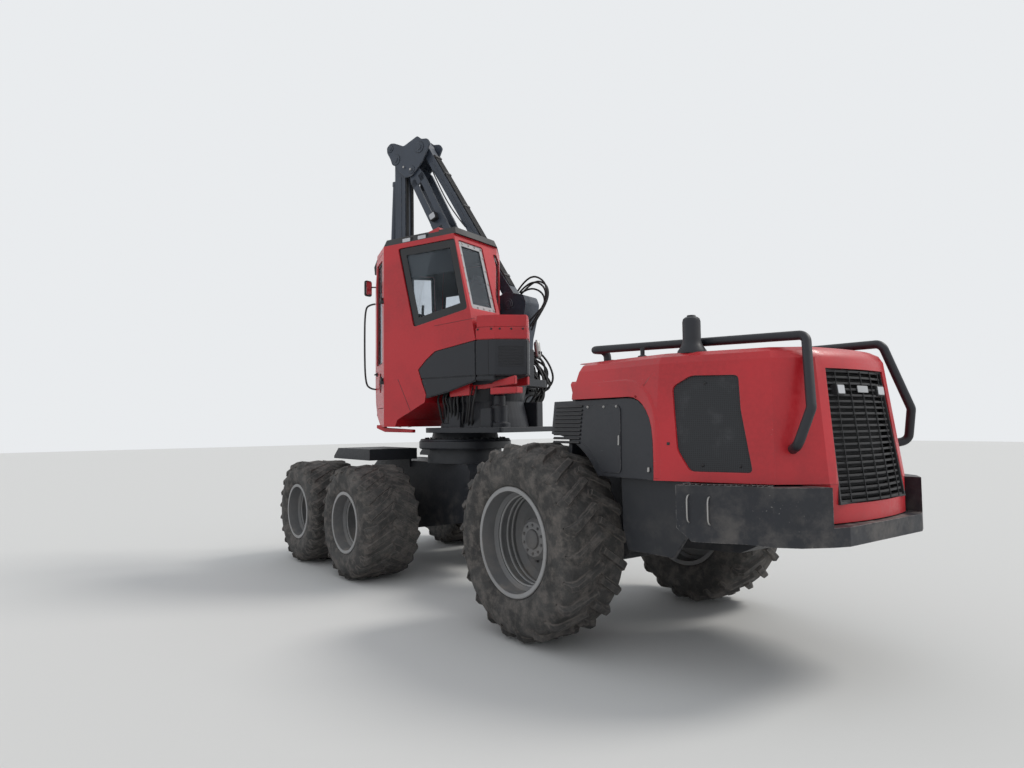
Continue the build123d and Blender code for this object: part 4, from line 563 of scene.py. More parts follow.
def bake(shape):
    """Shape's mesh with its modifiers made part of it."""
    bpy.context.view_layer.update()
    graph = bpy.context.evaluated_depsgraph_get()
    mesh = bpy.data.meshes.new_from_object(shape.evaluated_get(graph))
    shape.modifiers.clear()
    shape.data = mesh


def carve(shape, tool, operation="DIFFERENCE", transfer=False):
    """Shape after a tool has cut or limited it; the tool is used up."""
    cut = shape.modifiers.new("cut", "BOOLEAN")
    cut.operation = operation
    cut.solver = "EXACT"
    if transfer:
        cut.material_mode = "TRANSFER"
    cut.object = tool
    bake(shape)
    bpy.data.objects.remove(tool)
    return shape


def node_copy(name):
    """Loose copy of a CAD node's shape, to be cut into a piece that stands for it."""
    shape = bpy.data.objects.new(name + "_dressed", nodes[name].data.copy())
    bpy.context.scene.collection.objects.link(shape)
    return shape


def pipes(name, material, body, routes, radius):
    """Pipes or held hoses of one thickness, each a smooth line through its own control points."""
    curve = bpy.data.curves.new(name, "CURVE")
    curve.dimensions = "3D"
    curve.bevel_depth = radius
    curve.bevel_resolution = 3
    curve.resolution_u = 10
    curve.use_fill_caps = True
    for route in routes:
        line = curve.splines.new("NURBS")
        line.points.add(len(route) - 1)
        for point, place in zip(line.points, route):
            point.co = (*place, 1.0)
        line.order_u = 3
        line.use_endpoint_u = True
    shape = bpy.data.objects.new(name, curve)
    bpy.context.scene.collection.objects.link(shape)
    curve.materials.append(material)
    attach(shape, body)
    return shape


# Tyres: a carcass with two rows of slanting bars, worn and rounded
WHEELS = [
    f"{place}_{side}" for place in ("rear", "bogie_rear", "bogie_front") for side in ("left", "right")
]
BARS = 22
SLANT = math.radians(32)
WHEELBASE, BOGIE_REACH = 3904, 750
REAR_RADIUS = 822
DISC_Y = 970  # the wheel discs' distance from the vehicle's middle
for name in WHEELS:
    hand = 1 if name.endswith("left") else -1
    if name.startswith("rear"):
        centre_x, face, radius, width, rim, lug, lug_w = 0, 1394, REAR_RADIUS, 620, 457, 46, 62
    else:
        centre_x = WHEELBASE + (BOGIE_REACH if "front" in name else -BOGIE_REACH)
        face, radius, width, rim, lug, lug_w = 1462, 665, 710, 361, 20, 92
    tread = radius - lug
    centre = at_rear(centre_x, hand * face, radius)
    axle = Vector((0, hand, 0))
    profile = [(-150, rim - 30), (-46, rim - 24), (-41, rim + 1), (-26, rim + 12)]
    low, top = rim + 12, tread - 50
    for k in range(1, 10):
        t = k / 10
        profile.append((-27 + 27 * math.sin(math.pi * t) ** 0.8, low + (top - low) * t))
    profile += [(-30, top), (-46, tread - 26), (-82, tread - 9), (-width * 0.32, tread - 2)]
    profile += [(-width - a, r) for a, r in reversed(profile)]
    tyre = Form().spin(centre, axle, [(a / 1000, r / 1000) for a, r in profile], 96)
    reach = width / 2 / math.cos(SLANT) - 14
    for row in (1, -1):
        for k in range(BARS):
            turn = 2 * math.pi * (k + (1 - row) / 4) / BARS + 0.1
            out = Vector((math.sin(turn), 0, -math.cos(turn)))
            ahead = out.cross(Vector((0, 1, 0)))
            along = Vector((0, row, 0)) * math.cos(SLANT) + ahead * math.sin(SLANT)
            across = along.cross(out)
            middle = at_rear(centre_x, hand * (face - width / 2) + row * (width / 4 - 16), radius)
            half, wide = reach / 2, lug_w / 2
            rings = []
            for a, up, spread in (
                (-half, tread - 16, 1.25),
                (-half + 10, radius - 14, 0.95),
                (half - 66, radius - 14, 1.0),
                (half - 22, radius - lug * 0.75 - 12, 1.1),
                (half - 4, tread - 60, 1.45),
            ):
                base = middle + along * (a / 1000)
                flare = wide * spread / 1000
                top_at = base + out * (up / 1000)
                foot_at = base + out * ((tread - 70) / 1000)
                half_ring = ((foot_at, 1.35), (top_at - out * 0.012, 1.02), (top_at, 0.78))
                ring = [spot - across * flare * out_by for spot, out_by in half_ring]
                rings.append(ring + [spot + across * flare * out_by for spot, out_by in half_ring[::-1]])
            tyre.loft(rings)
    bmesh.ops.recalc_face_normals(tyre.bm, faces=tyre.bm.faces)
    limit = (radius - 1) / 1000
    for vert in tyre.bm.verts:
        away = Vector((vert.co.x - centre.x, 0, vert.co.z - centre.z))
        if away.length > limit:
            near = away * (limit / away.length)
            vert.co.x, vert.co.z = centre.x + near.x, centre.z + near.z
        depth = min(max((vert.co.y - centre.y) * hand, 0.001 - width / 1000), -0.001)
        vert.co.y = centre.y + depth * hand
    tyre.piece(f"tyre_tread_{name}", TYRE, f"wheel_{name}", smooth=True, replaces=(f"tyre_{name}",))

    # Wheel nuts, the hub's cover, weld rings in the dish and the rim's edge
    disc = DISC_Y - face
    fittings = Form()
    ring_r = 0.245 if name.startswith("rear") else 0.213
    circles = ((12, 0, ring_r, 18, 0.017, 0.02), (10, 0.5, 0.118, 170, 0.010, 0.008))
    for nuts, start, circle, depth, size, height in circles:
        for k in range(nuts):
            turn = 2 * math.pi * (k + start) / nuts
            out = Vector((math.cos(turn), 0, math.sin(turn)))
            spot = centre + out * circle + axle * (disc + depth) / 1000
            fittings.nut(spot, axle, size, height)
    profile = [(0, 0.001), (0, 0.085), (0.014, 0.078), (0.02, 0.06), (0.02, 0.001)]
    fittings.spin(centre + axle * (disc + 170) / 1000, axle, profile, 32)
    fittings.piece(f"wheel_fittings_{name}", RIM_DARK, f"wheel_{name}", smooth=True)
    rings = Form()
    r = (rim - 76) / 1000
    for a in (disc + 96, disc + 150, -196):
        weld = ((-12, 0), (-6, 0.011), (6, 0.011), (12, 0))
        rings.spin(centre, axle, [((a + off) / 1000, r - proud) for off, proud in weld], 72)
    r = (rim - 39) / 1000
    profile = [(-0.03, r + 0.003), (-0.025, r + 0.001), (-0.024, r + 0.032), (-0.029, r + 0.036)]
    rings.spin(centre, axle, profile, 72)
    rings.piece(f"rim_rings_{name}", RIM_EDGE, f"wheel_{name}", smooth=True)


# The hood's side walls lean inwards from their foot, and draw together faster behind a bend
LEAN = math.tan(math.radians(7.5))
HOOD_FOOT, HOOD_FRONT, HOOD_BEND = 1385, -300, -1300
FRONT_TAPER, REAR_TAPER, REAR_STRETCH = 0.08, 0.3718, 1.067
FLARE_PROUD = 17


def hood_point(x, z, out, hand):
    """Point on the hood's leaning side wall, moved outwards by some millimetres."""
    inset = (z - HOOD_FOOT) * LEAN
    if x > HOOD_BEND:
        y = 1000 + (HOOD_FRONT - x) * FRONT_TAPER - inset
    else:
        y = 1080 - (HOOD_BEND - x) * REAR_TAPER - inset * REAR_STRETCH
    return at_rear(x, hand * (y + out), z + out * LEAN)


def on_hood(form, outline, inner, outer, hand):
    """Prism of a side outline on the hood's wall, between two depths in millimetres."""
    x, z = outline[0]
    depth = hood_point(x, z, outer, hand) - hood_point(x, z, inner, hand)
    return form.prism([hood_point(a, b, inner, hand) for a, b in outline], depth)


VENT = [
    (-1410, 1870), (-1385, 2050), (-1505, 2125), (-1820, 2115), (-1848, 1877), (-1945, 1455), (-1545, 1455),
    (-1450, 1600),
]

# Hood: the shell with its front edge slanting back and an opening in each side for the vents
hood = node_copy("hood_shell")
outline = ((-299, 2040), (-395, 2291), (-150, 2291), (-150, 2040))
tool = Form().prism([at_rear(x, -1300, z) for x, z in outline], Vector((0, 2.6, 0)))
carve(hood, tool.solid())
for hand in (1, -1):
    outline = rounded(VENT, 32)
    tool = Form().prism([at_rear(x, hand * 500, z) for x, z in outline], Vector((0, hand * 0.8, 0)))
    carve(hood, tool.solid())
finish(hood, "hood_red_shell", RED, "hood", replaces=("hood_shell",))
for hand, side_name in ((1, "left"), (-1, "right")):
    vent = Form()
    on_hood(vent, rounded(grown(VENT, 14), 32), -26, -15, hand)
    vent.piece(f"vent_screen_{side_name}", SCREEN, "hood")
    trim = Form()
    for x, z in ((-1600, 2070), (-1620, 1500), (-1860, 1500)):
        spot = hood_point(x, z, -15, hand)
        trim.nut(spot, Vector((0, hand, LEAN)), 0.008, 0.004)
    on_hood(trim, [(-1398, 1635), (-1398, 1655), (-1378, 1655), (-1378, 1635)], -1, 3, hand)
    trim.piece(f"vent_trim_{side_name}", TRIM, "hood", 0.001)
    # Flare over the black side panel
    crease = [
        (-262, 2122), (-946, 2116), (-1040, 2098), (-1098, 2070), (-1165, 2022), (-1217, 1964),
        (-1262, 1890), (-1292, 1805), (-1312, 1690), (-1322, 1560), (-1328, 1400),
    ]
    edge = [
        (-305, 1994), (-960, 1994), (-1035, 1984), (-1090, 1962), (-1135, 1932), (-1180, 1885),
        (-1220, 1825), (-1248, 1760), (-1272, 1660), (-1289, 1540), (-1304, 1400),
    ]
    flare = Form()
    lines = []
    for k, ((a, b), (c, d)) in enumerate(zip(crease, edge)):
        away = Vector((a - c, b - d)).normalized()
        proud = FLARE_PROUD - max(0, k - 7) * 4
        lines.append(
            [
                hood_point(a + away.x * 26, b + away.y * 26, -1, hand),
                hood_point(a, b, proud, hand),
                hood_point(a - away.x * 12, b - away.y * 12, proud, hand),
                hood_point(c, d, 1.5, hand),
                hood_point(c, d, -6, hand),
            ]
        )
    flare.loft(lines)
    flare.piece(f"hood_flare_{side_name}", RED, "hood", smooth=True)


def grille_point(y, z, out):
    """Point on the grille's bowed and leaning face, moved outwards by some millimetres."""
    bow = 54 * (y / 450) ** 2
    return at_rear(-2352 + (z - HOOD_FOOT) * LEAN + bow - out, y, z)


def grille_wall(y, z, out):
    """Wall along the grille's face at a point."""
    lean = Vector((LEAN, 0, 1)).normalized()
    return Wall(grille_point(y, z, out), Vector((0, -1, 0)), lean, Vector((-1, 0, LEAN)).normalized())


# Rear of the hood: wires over the grille's slats, two lamps and a blank plate
wires = []
for y in (-330, -165, 0, 165, 330):
    wires.append(
        [grille_point(y * (1 - 0.00013 * (z - 1250)), z, 3) for z in (1262, 1480, 1700, 1920, 2136)]
    )
pipes("grille_wires", TRIM, "hood", wires, 0.0035)
lamps = Form()
glass = Form()
for y in (-275, 275):
    wall = grille_wall(y, 2005, 2)
    lamps.on(wall, box_outline(0, 0, 104, 76, 10), -30, 14)
    glass.on(wall, box_outline(0, 0, 88, 60, 8), 14, 18)
lamps.piece("rear_lamp_bodies", TRIM, "hood", 0.002)
glass.piece("rear_lamp_lenses", LENS, "hood", 0.0015)
plate = Form()
wall = grille_wall(0, 2012, 3)
plate.on(wall, box_outline(0, 0, 144, 48, 6), 0, 4)
plate.piece("blank_plate", PALE, "hood", 0.001)

# Black side panels with louvres and an access door, and the bulkhead that follows the slanting edge
panels = Form()
doors = Form()
blades = Form()
ARCH_RADIUS = 885
arch = [(x, REAR_RADIUS + math.sqrt(ARCH_RADIUS**2 - x**2)) for x in range(-660, 0, 60)] + [(-20, 1706)]
for hand in (1, -1):
    outline = [
        (-20, 1985), (-970, 1985), (-1035, 1976), (-1090, 1954), (-1135, 1924), (-1180, 1877),
        (-1216, 1820), (-1244, 1758), (-1267, 1660), (-1284, 1540), (-1299, 1386), (-682, 1386),
    ]
    on_hood(panels, outline + arch, -30, -4, hand)
    door = [
        (-450, 1940), (-865, 1936), (-895, 1905), (-955, 1440), (-935, 1416), (-735, 1416), (-680, 1475),
        (-600, 1548), (-520, 1607), (-450, 1650),
    ]
    on_hood(doors, rounded(door, 22), -5, 3, hand)
    for k in range(10):
        z = 1938 - 33 * k
        depth = hood_point(-424, z, 0, hand) - hood_point(-64, z, 0, hand)
        section = ((-13, -3), (-9, 9), (9, -1), (5, -5))
        blades.prism([hood_point(-64, z + rise, out, hand) for rise, out in section], depth)
lower = ((-968, 1387), (-360, 1341), (360, 1341), (968, 1387), (884, 2038), (-884, 2038))
panels.prism([at_rear(-290, y, z) for y, z in lower], Vector((0.04, 0, 0)))
upper = ((-290, -884, 2038), (-290, 884, 2038), (-372, 846, 2255), (-372, -846, 2255))
panels.prism([at_rear(*p) for p in upper], Vector((0.04, 0, 0.012)))
for hand in (1, -1):
    fin = [
        at_rear(x, hand * 430 - 20, z) for x, z in ((-300, 2120), (-252, 2060), (-244, 2330), (-290, 2330))
    ]
    panels.prism(fin, Vector((0, 0.04, 0)))
    panels.rod(at_rear(-270, hand * 430 - 60, 2330), at_rear(-270, hand * 430 + 60, 2330), 0.014)
    panels.rod(at_rear(-270, hand * 430 - 20, 2330), at_rear(-270, hand * 430 + 20, 2330), 0.026, 24)
panels.piece("side_panels_black", BLACK, "rear_chassis", 0.003, replaces=("side_panels",))
doors.piece("access_doors", BLACK, "rear_chassis", 0.002)
blades.piece("side_louvres", TRIM, "rear_chassis", 0.001)
latches = Form()
for hand in (1, -1):
    on_hood(latches, rounded([(-897, 1700), (-912, 1700), (-918, 1625), (-903, 1625)], 5), 3, 9, hand)
    on_hood(latches, rounded([(-1240, 1475), (-1262, 1475), (-1262, 1440), (-1240, 1440)], 8), -4, 8, hand)
    for x, z in ((-500, 1925), (-700, 1923), (-850, 1922)):
        latches.nut(hood_point(x, z, 3, hand), Vector((0, hand, LEAN)), 0.008, 0.005)
latches.piece("panel_latches", STEEL, "rear_chassis", 0.001)

# Lower side panels between the rear tyres and the bumper
skirts = Form()
for hand in (1, -1):
    outline = [(-905, 1384), (-1559, 1384), (-1545, 1040), (-1400, 842), (-965, 842), (-915, 1000)]
    skirts.prism([at_rear(x, hand * 965, z) for x, z in outline], Vector((0, hand * 0.03, 0)))
    skirts.rod(at_rear(-1330, 0, 1100), at_rear(-1330, hand * 966, 1100), 0.03)
skirts.piece("lower_side_panels", FRAME, "rear_chassis", 0.004)

# Bumper: serrated tread along its top, handles on its sides
tread_plate = Form()
grips = []
for hand in (1, -1):
    path = [(-1585, 1130), (-1760, 1036), (-1940, 922), (-2110, 888)]
    for (x0, y0), (x1, y1) in zip(path, path[1:]):
        steps = max(2, int(math.hypot(x1 - x0, y1 - y0) / 34))
        for k in range(steps):
            x, y = x0 + (x1 - x0) * (k + 0.5) / steps, y0 + (y1 - y0) * (k + 0.5) / steps
            spot = at_rear(x, hand * (y - 26), 1375)
            tooth = ((-0.011, -0.02), (0.011, -0.02), (0.006, 0.022), (-0.006, 0.022))
            tread_plate.prism([spot + Vector((a, b, 0)) for a, b in tooth], Vector((0, 0, 0.009)))
    for x, low in ((-1640, 1130), (-1760, 1120)):
        y = 1150 + (x + 1560) * 0.525 + 4
        bend = ((0, 0), (22, 0), (24, 90), (22, 180), (0, 180))
        grips.append([at_rear(x, hand * (y + proud), low + rise) for proud, rise in bend])
tread_plate.piece("bumper_tread", WORN, "rear_chassis", 0.001)
pipes("bumper_handles", STEEL, "rear_chassis", grips, 0.006)

# Feet of the guard rails, and a sleeve with a flared foot round the exhaust
feet = Form()
for hand in (1, -1):
    along, out = Vector((0.6, hand * 0.78, 0)).normalized(), Vector((-0.62, hand * 0.76, 0)).normalized()
    wall = Wall(at_rear(-2118, hand * 664, 1618), along, UP, out)
    feet.on(wall, box_outline(0, 0, 92, 80, 14), -12, -2)
    for a in (-30, 30):
        feet.nut(wall(a, -24, -2), wall.out, 0.009, 0.008)
    profile = [(0, 0.032), (0, 0.058), (0.009, 0.056), (0.009, 0.032)]
    feet.spin(at_rear(-430, hand * 640, 2301), UP, profile, 32)
    profile = [(0, 0.001), (0, 0.04), (0.012, 0.036), (0.02, 0.017), (0.078, 0.017), (0.078, 0.001)]
    feet.spin(at_rear(-960, hand * 789, 2301), UP, profile, 24)
profile = [
    (0, 0.04), (0, 0.108), (0.02, 0.105), (0.06, 0.078), (0.1, 0.066), (0.236, 0.066), (0.258, 0.060),
    (0.270, 0.045), (0.275, 0.001),
]
feet.spin(at_rear(-1400, 740, 2296), UP, profile, 40)
feet.piece("rail_feet", BLACK, "hood", 0.001, smooth=True)

# Cab: walls with window openings, the door with its oval recess, borders on the glass
CAB_SIDE = [
    (-700, 2745), (-110, 2655), (30, 2560), (150, 2450), (90, 2290), (30, 2150), (50, 2060), (240, 1970),
    (480, 1860), (520, 1775), (900, 1780), (1110, 1900), (1220, 2070), (1250, 2290), (1250, 3600),
    (1130, 4010), (-400, 4010), (-630, 3090),
]
CAB_PLAN = [
    (-1000, 720), (700, 720), (1250, 300), (1250, -200), (900, -580), (-150, -580), (-560, 120),
    (-1000, 120),
]


def cab_block(inset):
    """Solid cab form drawn in by inset on every face."""
    side_view, plan = grown(CAB_SIDE, -inset), grown(CAB_PLAN, -inset)
    block = Form().side(side_view, 740, -600).solid()
    tool = Form().slab(plan, 1500, 3000).solid()
    return carve(block, tool, "INTERSECT")


LEFT, DOOR = slew_wall(CAB_PLAN[1], CAB_PLAN[0]), slew_wall(CAB_PLAN[2], CAB_PLAN[1])
FRONT, RIGHT_FRONT = slew_wall(CAB_PLAN[3], CAB_PLAN[2]), slew_wall(CAB_PLAN[4], CAB_PLAN[3])
RIGHT, REAR_RIGHT = slew_wall(CAB_PLAN[5], CAB_PLAN[4]), slew_wall(CAB_PLAN[6], CAB_PLAN[5])
rear_up = (at_slew(-400, 720, 4010) - at_slew(-630, 720, 3090)).normalized()
rear_along = slew_way(0, -1)
REAR = Wall(at_slew(-630, 720, 3090), rear_along, rear_up, rear_along.cross(rear_up))
WINDOWS = [
    ("left", LEFT, [(235, 3950), (1110, 3950), (1290, 3110), (480, 2965)]),
    ("front", FRONT, [(30, 2350), (470, 2350), (470, 3570), (30, 3570)]),
    ("right_front", RIGHT_FRONT, [(30, 2500), (480, 2500), (440, 3860), (60, 3860)]),
    ("right", RIGHT, [(60, 3050), (980, 2860), (920, 3920), (100, 3920)]),
    ("rear_right", REAR_RIGHT, [(110, 3120), (730, 3120), (700, 3900), (200, 3900)]),
    ("rear", REAR, [(45, 30), (540, 30), (540, 880), (60, 880)]),
]
DOOR_OUTLINE = [(40, 2300), (190, 2010), (640, 2010), (640, 3940), (90, 3940), (40, 3560)]
DOOR_GLASS = [(110, 2560), (570, 2560), (570, 3870), (140, 3870), (110, 3520)]

shell = cab_block(0)
shell.data.materials.append(RED)
hollow = cab_block(45)
hollow.data.materials.append(LINER)
carve(shell, hollow, transfer=True)
for _, wall, outline in WINDOWS:
    carve(shell, Form().on(wall, rounded(outline, 38), -80, 40).solid())
carve(shell, Form().on(DOOR, grown(DOOR_OUTLINE, 7), -80, 40).solid())
finish(shell, "cab_walls", None, "superstructure", replaces=("cab_shell",))

door = Form().on(DOOR, DOOR_OUTLINE, -45, 0).solid()
carve(door, Form().on(DOOR, rounded(DOOR_GLASS, 30), -60, 20).solid())
turns = [2 * math.pi * k / 36 for k in range(36)]
oval = [(428 + 108 * math.cos(t), 2330 + 128 * math.sin(t)) for t in turns]
carve(door, Form().on(DOOR, oval, -14, 20).solid())
finish(door, "door_panel", RED, "door", replaces=("cab_door",))
# Black disc at the bottom of the oval recess: painted shade
fittings_and_shade_disc = Form().on(DOOR, grown(oval, -2), -14, -11)
fittings_and_shade_disc.border(DOOR, DOOR_GLASS, 30, -24, -18)
fittings_and_shade_disc.on(DOOR, rounded([(84, 2480), (84, 2430), (190, 2430), (190, 2480)], 14), -1, 7)
fittings_and_shade_disc.rod(DOOR(100, 2455, 26), DOOR(176, 2455, 26), 0.009)
for a in (100, 176):
    fittings_and_shade_disc.rod(DOOR(a, 2455, 0), DOOR(a, 2455, 26), 0.008)
fittings_and_shade_disc.piece("door_fittings_and_shade_disc", TRIM, "door", 0.0015)
hinges = Form()
straps = Form()
for z in (2300, 3300):
    hinges.on(DOOR, box_outline(670, z + 20, 40, 40, 8), -4, 30)
    hinges.rod(DOOR(656, z, 26), DOOR(656, z + 95, 26), 0.01)
    hinges.rod(DOOR(656, z, 26), DOOR(656, z + 40, 26), 0.018)
    straps.on(DOOR, box_outline(600, z + 61, 80, 40, 8), -2, 30)
hinges.piece("door_hinge_lugs", TRIM, "superstructure", 0.0015)
straps.piece("door_hinge_straps", TRIM, "door", 0.0015)

frames = Form()
for name, wall, outline in WINDOWS[:5]:
    frames.border(wall, grown(outline, -2), 95 if name == "left" else 44, -24, -18)
frames.piece("window_borders", GLAZE_BLACK, "superstructure")
pale = Form().border(REAR, grown(WINDOWS[-1][2], -3), 58, -24, -16)
studs = Form()
for a, b in (
    (70, 60), (190, 58), (310, 58), (430, 58), (515, 62), (515, 230), (515, 400), (515, 570), (515, 740),
    (512, 850), (390, 853), (270, 853), (150, 853), (86, 850), (84, 700), (80, 540), (76, 380), (72, 220),
):
    studs.nut(REAR(a, b, -16), REAR.out, 0.009, 0.006)
pale.piece("rear_window_frame", PALE, "superstructure", 0.001)
studs.piece("rear_window_bolts", STEEL, "superstructure")
# Dark sheet just inside the upper part of the left and right windows, darkening the glass there
upper_sheet = Form().on(LEFT, [(240, 3946), (1106, 3946), (1186, 3575), (334, 3575)], -42, -38)
upper_sheet.on(RIGHT, [(104, 3915), (918, 3915), (938, 3560), (88, 3560)], -42, -38)
upper_sheet.piece("upper_window_sheet", DARK_SHEET, "superstructure")

seams = Form()
seams.on(LEFT, [(228, 2352), (234, 2352), (434, 1962), (428, 1962)], 0.2, 1.4)
seams.on(LEFT, [(800, 2950), (1390, 2990), (1390, 2994), (800, 2954)], 0.2, 1.2)
seams.piece("cab_seams", TRIM, "superstructure")

# Black box behind and below the cab, and the red band over it
REAR_PLAN = [(-700, 720), (-920, 660), (-1200, 430), (-1190, 370), (-1000, 50), (-900, -100), (-700, -150)]
box = Form().slab(REAR_PLAN, 2337, 407)
side_view = [(-700, 2337), (-700, 2744), (-110, 2654), (29, 2559), (149, 2449), (107, 2337)]
box.side(side_view, 719, -540)
wing = [(-700, 2338), (106, 2338), (89, 2290), (29, 2152), (46, 2104), (-300, 2170), (-700, 2282)]
box.side(wing, 719, 683)
box.slab(((-700, 719), (-918, 659), (-908, 625), (-700, 683)), 2282, 56)
box.piece("rear_box_black", BLACK, "superstructure", 0.012, replaces=("rear_box",))
band = Form().slab(REAR_PLAN, 2745, 137)
band.slab(grown(REAR_PLAN, -7), 2880, 140)
band.piece("rear_band_red", RED, "superstructure", 0.008, replaces=("rear_band",))
BACK_A, BACK_B = slew_wall(REAR_PLAN[0], REAR_PLAN[1]), slew_wall(REAR_PLAN[1], REAR_PLAN[2])
slats = Form()
for k in range(14):
    slats.on(BACK_B, box_outline(182.5, 2443 + 17 * k, 285, 6), 0, 3)
slats.on(BACK_A, [(150, 2337), (156, 2337), (156, 2740), (150, 2740)], 0, 1.5)
slats.piece("rear_box_louvres", TRIM, "superstructure", 0.0008)
bolts = Form()
for wall, a in ((BACK_A, 30), (BACK_A, 190), (BACK_B, 60), (BACK_B, 190), (BACK_B, 320)):
    bolts.nut(wall(a, 2860, 0), wall.out, 0.009, 0.005)
bolts.piece("rear_band_bolts", TRIM, "superstructure")

# Roof: two lamps in its left edge, a red cover at the rear, a visor and lamps at the front
top = Form()
lens = Form()
EDGE = slew_wall((700, 700), (-400, 700))
for u in (330, 86):
    along = 700 - u
    top.on(EDGE, box_outline(along, 4039, 156, 66, 12), -40, 16)
    lens.on(EDGE, box_outline(along, 4038, 124, 44, 10), 16, 20)
for v in (-120, 40, 200):
    wall = Wall(at_slew(1150, v, 4062), slew_way(0, 1), UP, slew_way(1, 0))
    top.on(wall, box_outline(0, 0, 110, 76, 12), -60, 22)
    lens.on(wall, box_outline(0, 0, 92, 58, 10), 22, 26)
visor = [
    (1120, 4012), (1235, 4000), (1288, 3905), (1276, 3800), (1252, 3800), (1256, 3890), (1200, 3970),
    (1130, 3985),
]
top.side(visor, 290, -190)
top.piece("roof_fittings", TRIM, "superstructure", 0.002)
lens.piece("roof_lenses", LENS, "superstructure", 0.001)
cover = Form().side(((-185, 4011), (20, 4011), (8, 4096), (-150, 4132)), 690, 480)
cover.piece("roof_rear_cover", RED, "superstructure", 0.01)

# Grab rail and mirror at the front corner
rail = slew_line(
    (1236, 322, 3400), (1300, 352, 3395), (1362, 384, 3340), (1366, 388, 2850), (1356, 384, 2360),
    (1300, 350, 2275), (1232, 318, 2268),
)
mirror_arm = slew_line((1248, 200, 3640), (1330, 240, 3650), (1350, 300, 3640))
pipes("grab_rail", TRIM, "superstructure", [rail], 0.012)
pipes("mirror_arm", TRIM, "superstructure", [mirror_arm], 0.009)
wall = Wall(at_slew(1352, 330, 3620), slew_way(0, 1), UP, slew_way(-1, 0))
mirror = Form().on(wall, box_outline(0, 0, 120, 210, 30), -24, 10)
mirror.piece("mirror_shell", TRIM, "superstructure", 0.006)
mirror = Form().on(wall, box_outline(0, 0, 100, 188, 24), 10, 13)
mirror.piece("mirror_glass", CHROME, "superstructure")

# Seat: pedestal and consoles in plastic, cushions blown up by a short cloth simulation
base = Form()
base.slab(box_outline(-40, 70, 200, 240, 30), 2382, 440)
base.slab(box_outline(20, 70, 500, 460, 40), 2810, 30)
shell_side = [(-215, 2840), (-150, 2850), (-285, 3520), (-330, 3540), (-345, 3500), (-235, 2880)]
base.side(shell_side, 290, -150)
for hand in (1, -1):
    v = 70 + hand * 300
    console = [
        (-150, 2880), (100, 2880), (110, 3010), (330, 3060), (430, 3150), (400, 3190), (300, 3120),
        (-150, 3070),
    ]
    base.side(rounded(console, 24), v + 50, v - 50)
    base.side(((-120, 2800), (0, 2800), (0, 2882), (-120, 2882)), v + 30, 70)
base.piece("seat_base", TRIM, "superstructure", 0.006, replaces=("cab_seat",))
sticks = []
for hand in (1, -1):
    v = 70 + hand * 300
    sticks.append(slew_line((370, v, 3150), (376, v, 3210), (366, v, 3290)))
pipes("joysticks", TRIM, "superstructure", sticks, 0.017)


CLOTH_FRAMES = 20
MOST_SWELL = 0.016


def cushion(name, outline, v0, v1):
    """Pad from a side outline (u, z) across the seat, swollen by cloth simulation."""
    shape = Form().side(rounded(outline, 30), v0, v1).solid()
    voxels = shape.modifiers.new("voxels", "REMESH")
    voxels.mode = "VOXEL"
    voxels.voxel_size = 0.014
    bake(shape)
    rest = [v.co.copy() for v in shape.data.vertices]
    puff = shape.modifiers.new("puff", "CLOTH")
    puff.settings.use_pressure = True
    puff.settings.uniform_pressure_force = 4
    puff.settings.effector_weights.gravity = 0
    puff.point_cache.frame_start = 1
    puff.point_cache.frame_end = CLOTH_FRAMES
    for step in range(1, CLOTH_FRAMES + 1):
        bpy.context.scene.frame_set(step)
    bake(shape)
    for vert, start in zip(shape.data.vertices, rest):
        move = vert.co - start
        if move.length > MOST_SWELL:
            vert.co = start + move * (MOST_SWELL / move.length)
    bpy.context.scene.frame_set(1)
    smoother = shape.modifiers.new("smooth", "SMOOTH")
    smoother.iterations = 4
    bake(shape)
    finish(shape, name, SEAT, "superstructure", smooth=True)
    return shape


pad = [(-190, 2862), (265, 2862), (290, 2900), (262, 2938), (-90, 2920), (-180, 2930)]
cushion("seat_cushion", pad, -140, 280)
pad = [(-130, 2960), (-100, 2955), (-205, 3400), (-235, 3470), (-262, 3465), (-165, 3010)]
cushion("seat_back", pad, -130, 270)
cushion("head_rest", [(-262, 3500), (-215, 3500), (-240, 3640), (-285, 3640)], -30, 170)

# Crane: slender boom, flat link bars, knee plates, stick and pillar on the joints' own pins
FOOT, KNEE = (-250, 3380), (1300, 5850)
LINK_FOOT, LINK_HEAD, STICK_PIN, JIB_HEAD = (50, 3000), (1450, 5550), (1760, 5760), (1870, 5950.5)


def along_line(start, end, spots):
    """Side points (u, z) from distances along a line and up from it."""
    d = (Vector(end) - Vector(start)).normalized()
    return [tuple(Vector(start) + d * along + Vector((-d.y, d.x)) * up) for along, up in spots]


def boom(*spots):
    """Side points (u, z) on the boom."""
    return along_line(FOOT, KNEE, spots)


def on_link(*spots):
    """Side points (u, z) on the parallel link."""
    return along_line(LINK_FOOT, LINK_HEAD, spots)


def beside(v, route):
    """Line through side points (u, z) at a distance from the crane's middle plane."""
    return [at_slew(u, CRANE_V + v, z) for u, z in route]


LENGTH = math.dist(FOOT, KNEE)
LIFT_PIN = boom((1000, -190))[0]
main = Form()
main.crane(
    boom((0, 92), (0, -36), (LENGTH + 100, -36), (LENGTH + 122, 0), (LENGTH + 122, 62), (LENGTH + 88, 92)),
    -75, 75,
)
main.crane(boom((0, 110), (0, -60), (520, -37), (520, 91)), -83, 83)
for centre in (FOOT, KNEE):
    main.disc(centre, 100, -84, 84)
for side in (1, -1):
    lug = boom((790, -30), (945, -245), (1055, -245), (1210, -30))
    main.crane(lug, side * 67, side * 83)
    main.disc(LIFT_PIN, 60, side * 67, side * 86)
    main.crane(boom((300, 40), (300, 22), (2700, 22), (2700, 40)), side * 74, side * 79)
main.disc(LIFT_PIN, 37, -87, 87)
main.piece("boom_beam", CRANE, "main_boom", 0.006, replaces=("main_boom",))

